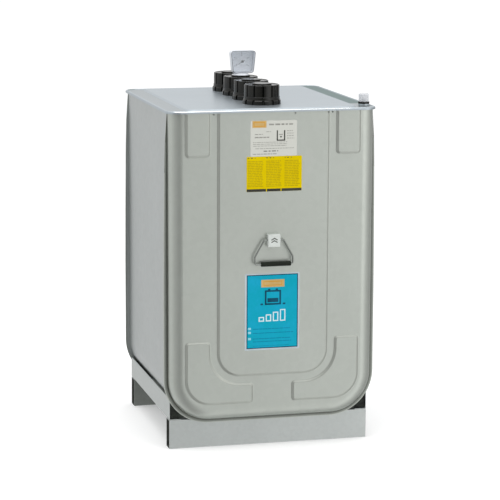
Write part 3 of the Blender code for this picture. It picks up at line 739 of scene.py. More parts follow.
@dataclass(frozen=True)
class ClearPlastic:
    """Clear moulded polystyrene: lets the inside show, with a milky edge and a bright gloss."""

    name: str
    tint: str
    roughness: float
    ior: float
    clarity: float

    def material(self) -> Material:
        """Make the clear plastic's material.

        Returns:
            A see-through dielectric with faint moulding haze.
        """
        tree, where, material = start_material(self.name)
        haze = add_node(tree, "ShaderNodeTexNoise", inputs={"Vector": where, "Scale": 60.0, "Detail": 3.0})
        gloss = add_node(tree, "ShaderNodeMapRange",
                         inputs={"Value": haze.outputs["Fac"], "To Min": self.roughness,
                                 "To Max": self.roughness + 0.06})
        shader = add_node(tree, "ShaderNodeBsdfPrincipled", inputs={
            "Base Color": linear(self.tint), "Roughness": gloss.outputs["Result"], "IOR": self.ior,
            "Alpha": 1.0 - self.clarity})
        finish_material(tree, shader)
        return material


@dataclass(frozen=True)
class PrintedFilm:
    """Screen-printed vinyl film: flat ink, slightly uneven, with the film's small ripples."""

    name: str
    ink: str
    thin_ink: str
    roughness: float = 0.55
    shine: float = 0.10

    def material(self) -> Material:
        """Make the printed film's material.

        Returns:
            A dielectric whose ink varies a little in strength.
        """
        tree, where, material = start_material(self.name)
        cover = add_node(tree, "ShaderNodeTexNoise", inputs={"Vector": where, "Scale": 22.0, "Detail": 6.0,
                                                             "Roughness": 0.65})
        ramp = add_node(tree, "ShaderNodeValToRGB", inputs={"Fac": cover.outputs["Fac"]},
                        stops=((0.38, linear(self.ink)), (0.72, linear(self.thin_ink))))
        ripple = add_node(tree, "ShaderNodeTexNoise", inputs={"Vector": where, "Scale": 30.0,
                                                              "Detail": 1.0})
        bump = add_node(tree, "ShaderNodeBump", inputs={"Strength": 0.15, "Distance": 0.001,
                                                        "Height": ripple.outputs["Fac"]})
        shader = add_node(tree, "ShaderNodeBsdfPrincipled", inputs={
            "Base Color": ramp.outputs["Color"], "Roughness": self.roughness, "IOR": 1.5,
            "Specular IOR Level": self.shine, "Normal": bump.outputs["Normal"]})
        finish_material(tree, shader)
        return material


PRESSED_LID = {"crystal": 0.04, "ripple": 0.03, "grain": 0.0}       # what the lid's press leaves

RECIPES: dict[str, ZincCoatedSheet | MouldedPlastic | ClearPlastic | PrintedFilm] = dict(
    side_sheet=ZincCoatedSheet("galvanised_side_sheet", "#bec3c2", "#b7bcbb", 0.34),
    panel_sheet=ZincCoatedSheet("galvanised_panel_sheet", "#c5cac3", "#bfc4bd", 0.39),
    # painted shade on the pressed fields' sloped edges, to draw their outlines dark
    drawn_sheet=ZincCoatedSheet("galvanised_sheet_drawn_in_the_press", "#bcc0b9", "#b6bab3", 0.42),
    # painted shade on the seam flange, darker band by band towards the fold
    seam_flange=ZincCoatedSheet("galvanised_seam_flange", "#969a94", "#8c908a", 0.36),
    seam_fold=ZincCoatedSheet("galvanised_seam_fold", "#7b7f79", "#71756f", 0.40),
    seam_shadow=ZincCoatedSheet("sealed_seam", "#6a6d66", "#5c5f58", 0.50),
    lid_sheet=ZincCoatedSheet("galvanised_lid_sheet", "#bfc8ce", "#b9c2c8", 0.36, mottle=0.10,
                              **PRESSED_LID),
    # painted shade: the level strip round the raised field, darker than the lid as if less lit
    lid_strip=ZincCoatedSheet("galvanised_lid_strip", "#a9b2b6", "#a2abaf", 0.28, mottle=0.10,
                              **PRESSED_LID),
    # painted shade: a darker tone with a tinted grazing reflection, for the lid's right strip, its right
    # and rear slopes and its rear bead
    lid_gutter=ZincCoatedSheet("galvanised_lid_gutter", "#a0adae", "#97a4a5", 0.30, mottle=0.10,
                               **PRESSED_LID, glance="#b0bebb"),
    # painted highlight: the bright front edge of the lid, also laid on the leak indicator's washer where it
    # stands in shade
    lid_bead=ZincCoatedSheet("galvanised_lid_bead", "#dde3e6", "#d3d9dc", 0.26, crystal=0.04, mottle=0.05,
                             ripple=0.0, grain=0.0),
    frame_sheet=ZincCoatedSheet("galvanised_frame_sheet", "#c9cecc", "#c0c5c3", 0.36, crystal=0.010),
    # painted shade on the beams' faces that look in under the tank
    frame_dull=ZincCoatedSheet("galvanised_frame_sheet_dull", "#848884", "#7a7e7a", 0.45, crystal=0.010),
    # painted shade inside the beams' box section
    frame_inside=ZincCoatedSheet("frame_sheet_inside", "#7c7f7b", "#727571", 0.5, crystal=0.010),
    bracket_sheet=ZincCoatedSheet("galvanised_bracket", "#d8ddd9", "#ced3cf", 0.38, metallic=0.25,
                                  crystal=0.006, ripple=0.02),
    zinc_wire=ZincCoatedSheet("zinc_plated_wire", "#a3a7a3", "#8b8f8b", 0.34, crystal=0.004, ripple=0.02),
    tank_plastic=MouldedPlastic("blow_moulded_polyethylene", "#ddd9c8", "#e6e2d4", 0.5),
    cap_plastic=MouldedPlastic("moulded_polypropylene_black", "#0a0a06", "#13130b", 0.18, shine=0.42),
    pad_foam=MouldedPlastic("expanded_foam_black", "#070907", "#3c443c", 0.60, grain=0.004, depth=0.9,
                            shine=0.35),
    gauge_plastic=MouldedPlastic("moulded_abs_pale_grey", "#dfe3ea", "#e8ebf0", 0.35),
    dial_plastic=MouldedPlastic("printed_dial_plate", "#eef3fa", "#f4f8fd", 0.4),
    needle_plastic=MouldedPlastic("moulded_needle_black", "#131315", "#1e1e20", 0.4),
    # the bezel's dark grey also paints in the clear cover's dark refracted edge
    bezel_plastic=MouldedPlastic("moulded_bezel_grey", "#4e545c", "#5b6169", 0.4),
    dial_ink=PrintedFilm("dial_ink_black", "#3a3f45", "#474c52"),
    screw_zinc=ZincCoatedSheet("zinc_plated_screw", "#a0a4a0", "#8a8e8a", 0.35, crystal=0.003, ripple=0.0),
    clear_cover=ClearPlastic("clear_polystyrene_cover", "#e8edf3", 0.04, 1.59, 0.88),
    clear_dome=ClearPlastic("clear_polystyrene_dome", "#eceef2", 0.08, 1.59, 0.55),
    float_plastic=MouldedPlastic("moulded_float_white", "#dcdcda", "#e8e8e6", 0.4),
    grip_rubber=MouldedPlastic("extruded_rubber_hose", "#151a13", "#1f251b", 0.55, grain=0.0018, depth=0.3,
                               shine=0.20),
    white_film=PrintedFilm("printed_film_white", "#cacbc4", "#c9cac3"),
    yellow_film=PrintedFilm("printed_film_yellow", "#d2b900", "#dac202", shine=0.03),
    blue_film=PrintedFilm("printed_film_blue", "#009eb5", "#12a0c3"),
    orange_ink=PrintedFilm("screen_ink_orange", "#c3a266", "#cbab72"),
    dark_ink=PrintedFilm("screen_ink_black", "#34342f", "#45453f"),
    navy_ink=PrintedFilm("screen_ink_navy", "#0a4258", "#12536b"),
    pale_ink=PrintedFilm("screen_ink_white", "#d3e4e9", "#c5dbe2"),
    grey_ink=PrintedFilm("screen_ink_grey", "#8f8f89", "#a0a09a"),
    brown_ink=PrintedFilm("screen_ink_brown", "#b29b02", "#bba50a"),
    amber_ink=PrintedFilm("screen_ink_amber", "#c78a2c", "#cd953c"),
    deep_ink=PrintedFilm("screen_ink_deep_blue", "#007596", "#067f9f"),
    # painted shade in the caps' and collars' grooves
    cap_groove=MouldedPlastic("moulded_polypropylene_recess", "#020201", "#050504", 0.60, shine=0.06),
    sign_ink=PrintedFilm("stamped_sign_ink", "#5a5e59", "#686c67"),
    bullet_ink=PrintedFilm("screen_ink_pale_blue", "#8ccbd8", "#9dd3de"),
    cool_film=PrintedFilm("printed_film_cool_white", "#b4bfc4", "#bdc7cc"),
)


class Finishes:
    """Every finish of the tank, each made once; its recipe's name is that of its attribute."""

    def __init__(self) -> None:
        """Make all the materials."""
        self.made = {name: recipe.material() for name, recipe in RECIPES.items()}

    def __getattr__(self, name: str) -> Material:
        """Find a finish by its recipe's name."""
        return self.made[name]


def dress(frame: dict, material: Material, *nodes: str) -> None:
    """Give CAD nodes their finish.

    Args:
        frame: The loaded frame.
        material: The finish.
        nodes: The nodes' names.
    """
    for name in nodes:
        for place in frame["nodes"][name].material_slots:
            place.material = material


# ---------------------------------------------------------------- the jacket


@dataclass(frozen=True)
class PressedField:
    """One raised field of the panels: a flat plate with a sloped edge and round corners."""

    corners: tuple[Pair, ...]
    radii: tuple[float, ...]
    rise: float = 0.004
    slope: float = 0.006
    sink: float = 0.0012
    arc_steps: float = 160.0        # edges in a corner's arc for each metre of its radius

    def plate(self, level: float) -> Workpiece:
        """Build the field's plate, seated a little inside the panel's face.

        Args:
            level: Distance of the panel's face from the middle of the tank.

        Returns:
            A closed plate that a panel is united with.
        """
        across = [u for u, _ in self.corners]
        upward = [v for _, v in self.corners]
        work = Workpiece.plate("field", (min(across), min(upward)), (max(across), max(upward)),
                               level - self.sink, Facing.FRONT)
        if len(self.corners) > 4:
            work = self.notched(work)
        for (u, v), radius in zip(self.corners, self.radii):
            if radius > 0.0:
                work.pick(Domain.VERTS, lambda s, u=u, v=v: near(s.place.x, u) and near(s.place.z, v))
                work.round_corners(radius, max(4, int(radius * self.arc_steps)))
        work.take_all()
        work.extrude((0.0, -self.sink, 0.0))
        work.inset((self.slope, self.rise))
        return work.close_rim().tidy()

    def notched(self, work: Workpiece) -> Workpiece:
        """Cut the rectangle down to an L with one inner corner.

        Args:
            work: The rectangle round the whole outline.

        Returns:
            The L-shaped plate.
        """
        inner_u, inner_v = self.corners[1]
        end_u = self.corners[2][0]
        work.slice(Axis.X, inner_u)
        work.slice(Axis.Z, inner_v)
        left = end_u < inner_u
        work.drop_faces(lambda s: (s.place.x < inner_u) == left and s.place.z > inner_v)
        work.take_all()
        bpy.ops.mesh.dissolve_limited(angle_limit=math.radians(1.0))
        return work


@dataclass
class JacketPanel:
    """A deep-drawn end panel: hemmed seam flange, rolled edge and a flat face with pressed fields."""

    half_width: float = 0.351
    bottom: float = 0.1003
    top: float = 1.1405
    corner_radius: float = 0.140
    corner_steps: int = 20
    flange: float = 0.014
    flange_draw: tuple[Pair, ...] = (
        (0.53, 1.0), (0.73, 0.90), (0.94, 0.78), (1.04, 0.69), (1.08, 0.58), (1.115, 0.42), (1.1405, 0.20))
    flange_level: float = 0.3289
    skirt: float = 0.003
    face_level: float = 0.369
    edge_width: float = 0.046
    edge_steps: int = 12
    sheet: float = 0.0016
    hem_depth: float = 0.0046
    bands: tuple[float, ...] = (0.0025, 0.0042, 0.0038, 0.0035)
    spare: float = 0.110
    bends: Pair = (22.0, 50.0)       # degrees; what folds this much is eased
    ease: float = 0.0022
    overlap: float = 0.030
    wide_field: Triple = (0.191, 0.2495, 0.082)                 # half width, bottom, radius
    short_field: tuple[float, ...] = (0.215, 0.300, 0.991, 0.014)       # two sides, bottom, radius
    corner_field: tuple[float, ...] = (0.3725, 0.2255, 0.156, 0.067)    # top, arm's top, foot, arm's end
    corner_radii: tuple[float, ...] = (0.012, 0.105, 0.012, 0.012, 0.088, 0.012)

    def fields(self) -> list[PressedField]:
        """List the pressed fields: the wide one, two short ones above and an L in each lower corner.

        Returns:
            The five fields.
        """
        over = self.top + self.overlap
        wide, low, radius = self.wide_field
        made = [PressedField(((-wide, over), (-wide, low), (wide, low), (wide, over)),
                             (0.0, radius, radius, 0.0))]
        near_x, far_x, low, radius = self.short_field
        high, arm, foot, reach = self.corner_field
        for side in (-1.0, 1.0):
            inner, outer, end = side * near_x, side * far_x, side * reach
            made.append(PressedField(((inner, over), (inner, low), (outer, low), (outer, over)),
                                     (0.0, radius, radius, 0.0)))
            made.append(PressedField(((inner, high), (inner, arm), (end, arm), (end, foot), (outer, foot),
                                      (outer, high)), self.corner_radii))
        return made

    def outside(self, spot: Spot) -> float:
        """How far a spot lies outside the jacket's walls, measured in the panel's plane.

        Args:
            spot: The spot.

        Returns:
            The distance, which is negative inside.
        """
        x, z = abs(spot.place.x), spot.place.z
        centre_x, centre_z = self.half_width - self.corner_radius, self.bottom + self.corner_radius
        if z < centre_z and x > centre_x:
            return math.hypot(x - centre_x, z - centre_z) - self.corner_radius
        return max(x - self.half_width, self.bottom - z)

    def on_band(self, spot: Spot, band: int) -> bool:
        """Tell whether a face lies on one band of the seam flange, counted from its outer edge.

        Args:
            spot: The face.
            band: The band's number.

        Returns:
            Whether it does.
        """
        if not (near(abs(spot.place.y), self.flange_level, 2e-4) and spot.normal.y < -0.9):
            return False
        outside = self.outside(spot) / self.draw(spot.place.z)
        high = self.flange - sum(self.bands[:band])
        return high - self.bands[band] - 0.0002 < outside < high + 0.0002

    def on_slope(self, spot: Spot) -> bool:
        """Tell whether a face is part of a pressed field's sloped edge, which gets painted shade."""
        return (-spot.place.y > self.face_level + 0.0001 and -spot.normal.y < math.cos(math.radians(6))
                and spot.normal.y < -0.5)

    def draw(self, height: float) -> float:
        """Share of the flange's full width at a height; it draws in towards the lid.

        Args:
            height: The height.

        Returns:
            The share.
        """
        for (low, wide), (high, narrow) in zip(self.flange_draw, self.flange_draw[1:]):
            if height <= high:
                return wide + (narrow - wide) * max(height - low, 0.0) / (high - low)
        return self.flange_draw[-1][1]

    def taper(self, work: Workpiece) -> None:
        """Draw in both flanges of a sheet towards the lid.

        Args:
            work: The sheet.
        """
        for height, share in self.flange_draw:
            work.slice(Axis.Z, height)
            for side in (-1.0, 1.0):
                work.pick(Domain.VERTS, lambda s, side=side, height=height:
                          side * s.place.x > self.half_width + 1e-4 and near(s.place.z, height, 1e-4))
                work.stretch((share, 1.0, 1.0), (side * self.half_width, 0.0, height))

    def skin(self) -> Workpiece:
        """Draw the panel's sheet, from its flange to its flat face.

        Returns:
            The open sheet, before its pressed fields.
        """
        reach = self.half_width + self.flange
        work = Workpiece.plate("front_panel_skin", (-reach, self.bottom - self.flange),
                               (reach, self.top + self.spare), self.flange_level, Facing.FRONT)
        work.pick(Domain.VERTS, lambda s: s.place.z < self.bottom)
        work.round_corners(self.corner_radius + self.flange, self.corner_steps)
        work.take(Domain.FACES).inset(*((band, 0.0) for band in self.bands))
        work.extrude((0.0, -self.skirt, 0.0))
        work.roll(self.edge_width, self.face_level - self.flange_level - self.skirt, self.edge_steps)
        work.pick(Domain.EDGES, lambda s: s.rim and s.place.z < self.top + self.spare - 0.001)
        work.extrude((0.0, self.hem_depth, 0.0))
        self.taper(work)
        return work

    def build(self, finishes: Finishes) -> list[Object]:
        """Build both end panels.

        Args:
            finishes: The tank's finishes.

        Returns:
            The front and the rear panel.
        """
        work = self.skin()
        work.wall(self.sheet)
        for pressing in self.fields():
            work.join(pressing.plate(self.face_level), Joint.UNITE)
        work.slice(Axis.Z, self.top, keep_below=True)
        work.pick(Domain.EDGES, lambda s: s.place.y < -self.face_level + 0.0002
                  and self.bends[0] < math.degrees(s.fold) < self.bends[1])
        work.soften(self.ease, 3)
        work.smooth(30.0, even=True)
        work.paint(finishes.drawn_sheet, self.on_slope, finishes.panel_sheet)
        # the flange's bands get painted shade, darker towards the fold
        for band, finish in ((1, finishes.seam_flange), (2, finishes.seam_fold), (3, finishes.seam_shadow)):
            work.paint(finish, lambda s, band=band: self.on_band(s, band), finishes.panel_sheet)
        rear = work.copy("rear_panel_skin").half_turn()
        return [work.fit("tank", finishes.panel_sheet, "jacket_steel", ["front_panel"]),
                rear.fit("tank", finishes.panel_sheet, "jacket_steel", ["rear_panel"])]


@dataclass
class JacketWrap:
    """The U of sheet that makes both sides and the bottom, with a seam flange at each end."""

    panel: JacketPanel
    half_depth: float = 0.3246
    flange: float = 0.0110
    sheet: float = 0.0018

    def build(self, finishes: Finishes) -> Object:
        """Build the wrap as one half and mirror it.

        Args:
            finishes: The tank's finishes.

        Returns:
            The wrap.
        """
        shape = self.panel
        reach = shape.half_width + self.flange
        work = Workpiece.plate("side_wrap_skin", (-reach, shape.bottom - self.flange),
                               (reach, shape.top + shape.spare), self.half_depth, Facing.FRONT)
        work.pick(Domain.VERTS, lambda s: s.place.z < shape.bottom)
        work.round_corners(shape.corner_radius + self.flange, shape.corner_steps)
        work.take(Domain.FACES).inset((self.flange, 0.0))
        bpy.ops.mesh.flip_normals()
        work.extrude((0.0, self.half_depth, 0.0))
        bpy.ops.mesh.delete(type="FACE")
        shape.taper(work)
        work.slice(Axis.Z, shape.top, keep_below=True)
        work.modify("MIRROR", use_axis=(False, True, False), use_mirror_merge=True,
                    merge_threshold=0.0001)
        work.take_all()
        bpy.ops.mesh.normals_make_consistent(inside=False)
        form = bmesh.from_edit_mesh(work.obj.data)
        lean = sum(f.normal.x * math.copysign(1.0, f.calc_center_median().x) * f.calc_area()
                   for f in form.faces if abs(f.normal.x) > 0.9)
        if lean < 0.0:
            bpy.ops.mesh.flip_normals()
        work.wall(self.sheet)
        work.smooth(30.0, even=True)
        return work.fit("tank", finishes.side_sheet, "jacket_steel", ["side_wrap"])


@dataclass
class JacketLid:
    """The lid: a turned-down rim, a level strip and a raised field that the sockets come through."""

    half_width: float = 0.3595
    half_depth: float = 0.3765
    radius: float = 0.046
    corner_steps: int = 12
    rim_height: float = 0.0085
    edge: float = 0.005
    edge_steps: int = 5
    bead: float = 0.0025
    gutter: float = 0.0016
    gutter_slant: float = 1.5       # width of the gutter's flank for its depth
    side_strip: float = 0.062
    end_strip: float = 0.020
    rise: float = 0.0041
    slope: float = 0.008
    shade_end: float = -0.235       # the strip gets painted shade from here to the rear
    bead_end: float = 0.262         # the front edge gets a painted highlight up to here
    sheet: float = 0.0015
    socket_radius: float = 0.0466
    socket_sides: int = 48
    bore_below: float = 0.01
    bore_length: float = 0.03
    bends: Pair = (15.0, 50.0)       # degrees; what folds this much is eased
    margin: Pair = (0.02, 0.015)     # and lies this far in from the sides and ends
    ease: float = 0.0016

    def build(self, finishes: Finishes, sockets: Sequence[Triple]) -> Object:
        """Build the lid.

        Args:
            finishes: The tank's finishes.
            sockets: Where the sockets come through.

        Returns:
            The lid.
        """
        work = Workpiece.plate("lid_sheet", (-self.half_width, -self.half_depth),
                               (self.half_width, self.half_depth), LID_TOP - self.rim_height, Facing.UP)
        work.take(Domain.VERTS).round_corners(self.radius, self.corner_steps)
        work.take(Domain.FACES).extrude((0.0, 0.0, self.rim_height - self.edge))
        work.roll(self.edge, self.edge, self.edge_steps)
        work.inset((self.bead, 0.0), (self.gutter * self.gutter_slant, -self.gutter))
        work.wall(self.sheet)
        floor = LID_TOP - self.gutter
        inner_x, inner_y = self.half_width - self.side_strip, self.half_depth - self.end_strip
        for side in (-1.0, 1.0):
            work.slice(Axis.X, side * inner_x)
            work.slice(Axis.Y, side * inner_y)
        work.slice(Axis.Y, self.shade_end)
        work.slice(Axis.X, self.bead_end)
        raised = Workpiece.plate("lid_field", (-inner_x, -inner_y), (inner_x, inner_y),
                                 floor - self.sheet / 2, Facing.UP)
        raised.take(Domain.VERTS).round_corners(self.radius, self.corner_steps)
        raised.take(Domain.FACES).extrude((0.0, 0.0, self.sheet / 2))
        raised.inset((self.slope, self.rise))
        work.join(raised.close_rim().tidy(), Joint.UNITE)
        for x, y, _ in sockets:
            bore = Workpiece.disc("socket_bore", self.socket_radius, (x, y, LID_TOP - self.bore_below),
                                  self.socket_sides)
            bore.take(Domain.FACES).extrude((0.0, 0.0, self.bore_length))
            work.join(bore.close_rim().tidy(), Joint.CUT)
        work.pick(Domain.EDGES, lambda s: s.place.z > floor - 0.0001
                  and self.half_width - abs(s.place.x) > self.margin[0]
                  and self.half_depth - abs(s.place.y) > self.margin[1]
                  and self.bends[0] < math.degrees(s.fold) < self.bends[1])
        work.soften(self.ease, 2)
        work.smooth(30.0, even=True)

        def on_strip(spot: Spot) -> bool:
            """Tell whether a face lies in the level gutter round the raised field, which gets a light
            painted shade.
            """
            return spot.normal.z > 0.99 and near(spot.place.z, floor, 3e-4)

        def in_shade(spot: Spot) -> bool:
            """Tell whether a face gets painted shade: right of the raised field, or on its right or rear
            slope.

            Args:
                spot: The face.

            Returns:
                Whether it does.
            """
            slope = (floor < spot.place.z < LID_SEAT - 0.0001 and 0.5 < spot.normal.z < 0.992
                     and (spot.normal.x > 0.1 or spot.normal.y > 0.1))
            strip = on_strip(spot) and spot.place.x > inner_x
            inside = spot.place.x < self.half_width - 0.006 and spot.place.y > self.shade_end
            return (slope or strip) and inside

        def on_painted_highlight(spot: Spot) -> bool:
            """Tell whether a face lies on the front rolled edge, which gets a painted highlight.

            Args:
                spot: The face.

            Returns:
                Whether it does.
            """
            return (spot.place.z > LID_TOP - self.edge and spot.normal.z > 0.2
                    and spot.place.x < self.bead_end
                    and self.half_depth + spot.place.y < self.edge + self.bead)

        def on_rear_bead(spot: Spot) -> bool:
            """Tell whether a face lies on the rear rolled edge, which gets painted shade.

            Args:
                spot: The face.

            Returns:
                Whether it does.
            """
            return (spot.place.z > LID_TOP - self.edge
                    and self.half_depth - spot.place.y < self.edge + self.bead)

        # painted light on the lid: shade on the level strip, deeper shade on the right and at the rear, a
        # highlight along the front edge
        for finish, test in ((finishes.lid_strip, on_strip), (finishes.lid_gutter, in_shade),
                             (finishes.lid_bead, on_painted_highlight), (finishes.lid_gutter, on_rear_bead)):
            work.paint(finish, test, finishes.lid_sheet)
        return work.fit("tank", finishes.lid_sheet, "lid_steel", ["lid"])


# ---------------------------------------------------------------- sockets


@dataclass
class SocketRow:
    """Four capped sockets in a row, each with a lobed collar and a lugged screw cap."""

    count: int = 4
    pitch: float = 0.1457
    middle_y: float = 0.0106
    gauge_socket: int = 2
    turns: tuple[float, ...] = (5.3, 10.6, -7.1, 3.2)
    lugs: int = 12
    steps_per_lug: int = 24
    cap_radius: float = 0.0595
    cap_height: float = 0.0394
    cap_edge: float = 0.0026
    cap_edge_steps: int = 4
    cap_bore: float = 0.048
    gap_depth: float = 0.0030
    dish_radius: float = 0.0535
    dish_depth: float = 0.0012
    lip: float = 0.0012
    roof: float = 0.006
    boss_radius: float = 0.0330
    boss_height: float = 0.0035
    boss_edge: float = 0.0010
    boss_edge_steps: int = 3
    boss_ring: float = 0.012
    collar_radius: float = 0.0645
    collar_waist: float = 0.0610
    collar_foot: float = 0.0120
    collar_neck: float = 0.0185
    collar_height: float = 0.0250
    collar_edge: float = 0.0008
    collar_top: float = 0.0125
    collar_flare: tuple[Pair, ...] = ((0.35, 0.0008), (0.45, 0.0028), (0.20, 0.0029))
    notch: float = 0.0034
    cap_groove: float = 1.6         # half a groove's breadth, in steps of the blank
    collar_groove: float = 2.1
    groove_slack: float = 0.0005

    def centres(self) -> list[Triple]:
        """List where the sockets stand, front first."""
        half = (self.count - 1) / 2
        return [(0.0, self.middle_y + self.pitch * (index - half), LID_SEAT) for index in range(self.count)]

    def groove(self, work: Workpiece, reach: float, depth: float, top: float, breadth: float) -> None:
        """Press one groove between every two lugs.

        Args:
            work: The round blank about the origin.
            reach: Radius of the wall that takes the grooves.
            depth: Depth of a groove.
            top: Height that the grooves reach.
            breadth: Half the groove's breadth, in steps of the blank.
        """
        def in_groove(spot: Spot) -> bool:
            """Tell whether a corner of the wall lies in a groove.

            Args:
                spot: The corner.

            Returns:
                Whether it does.
            """
            share = (math.atan2(spot.place.y, spot.place.x) * self.lugs / math.tau) % 1.0
            return (abs(share - 0.5) < breadth / self.steps_per_lug and spot.place.z < top
                    and spot.place.xy.length > reach)

        work.pick(Domain.VERTS, in_groove)
        factor = 1.0 - depth / self.cap_radius
        work.stretch((factor, factor, 1.0), ORIGIN)

    def darken(self, work: Workpiece, finishes: Finishes, x: float, y: float) -> None:
        """Paint the grooves of a placed cap or collar darker, as painted shade.

        Args:
            work: The cap or collar.
            finishes: The tank's finishes.
            x: Where it stands across the tank.
            y: Where it stands along the tank.
        """
        def in_groove(spot: Spot) -> bool:
            """Tell whether a face is a groove's floor or flank.

            Args:
                spot: The face.

            Returns:
                Whether it is.
            """
            away = Vector((spot.place.x - x, spot.place.y - y))
            level = abs(spot.normal.z) < 0.5 and away.length > self.dish_radius - 0.001
            across = (spot.normal.xy.length > 0.1
                      and away.normalized().dot(spot.normal.xy.normalized()) < 0.97)
            floor = away.length < self.cap_radius - self.gap_depth + 0.0003
            return level and (across or floor)

        work.paint(finishes.cap_groove, in_groove, finishes.cap_plastic)

    def cap(self) -> Workpiece:
        """Model the screw cap about the origin.

        Returns:
            A hollow cap with twelve lugs, a rounded rim, a shallow dish and a low boss.
        """
        work = Workpiece.disc("screw_cap", self.cap_radius, ORIGIN, self.lugs * self.steps_per_lug)
        work.take(Domain.FACES).extrude((0.0, 0.0, self.lip),
                                        (0.0, 0.0, self.cap_height - self.cap_edge - self.lip))
        work.roll(self.cap_edge, self.cap_edge, self.cap_edge_steps)
        work.inset((self.cap_radius - self.cap_edge - self.dish_radius, 0.0), (self.lip, -self.dish_depth),
                   (self.dish_radius - self.lip - self.boss_radius, 0.0))
        work.extrude((0.0, 0.0, self.dish_depth + self.boss_height - self.boss_edge))
        work.roll(self.boss_edge, self.boss_edge, self.boss_edge_steps)
        work.inset((self.boss_ring, 0.0), (self.boss_ring, 0.0))
        self.groove(work, self.dish_radius + self.groove_slack, self.gap_depth, self.cap_height + 0.001,
                    self.cap_groove)
        work.pick(Domain.EDGES, lambda s: s.rim)
        work.extrude((0.0, 0.0, 0.0))
        inner = self.cap_bore / self.cap_radius
        work.stretch((inner, inner, 1.0), ORIGIN)
        work.extrude((0.0, 0.0, self.cap_height - self.roof))
        work.close()
        return work.smooth(32.0, even=True)

    def collar(self) -> Workpiece:
        """Model the collar about the origin.

        Returns:
            A flared ring whose foot is notched into lobes.
        """
        work = Workpiece.disc("socket_collar", self.collar_radius, ORIGIN, self.lugs * self.steps_per_lug)
        work.take(Domain.FACES)
        flare = self.collar_radius - self.collar_waist
        work.extrude((0.0, 0.0, 0.0010), (0.0, 0.0, self.collar_foot - 0.0010))
        work.inset(*((flare * share, rise) for share, rise in self.collar_flare))
        work.extrude((0.0, 0.0, self.collar_height - self.collar_neck - self.collar_edge))
        work.inset((self.collar_edge, self.collar_edge), (self.collar_top, 0.0))
        work.drop_faces(lambda s: s.normal.z > 0.9 and s.place.xy.length < 0.01)
        self.groove(work, self.collar_waist + self.groove_slack, self.notch, self.collar_foot + 0.0030,
                    self.collar_groove)
        return work.smooth(32.0, even=True)

    def build(self, finishes: Finishes) -> list[Object]:
        """Build all the collars and caps.

        Args:
            finishes: The tank's finishes.

        Returns:
            The collars and caps.
        """
        made = []
        blanks = (self.collar(), self.cap())
        for index, (x, y, z) in enumerate(self.centres()):
            cap = "gauge_cap" if index == self.gauge_socket else f"screw_cap_{index + 1}"
            collar = f"socket_collar_{index + 1}"
            levels = (z + SEAT_GAP, z + self.collar_height + 2 * SEAT_GAP)
            for blank, node, level in zip(blanks, (collar, cap), levels):
                piece = blank.copy(f"lobed_{node}")
                piece.turn(-math.radians(self.turns[index]), Axis.Z).shift((x, y, level))
                self.darken(piece, finishes, x, y)
                made.append(piece.fit("tank", finishes.cap_plastic, "cap_plastic", [node]))
        for blank in blanks:
            bpy.data.objects.remove(blank.obj, do_unlink=True)
        return made


# ---------------------------------------------------------------- level gauge


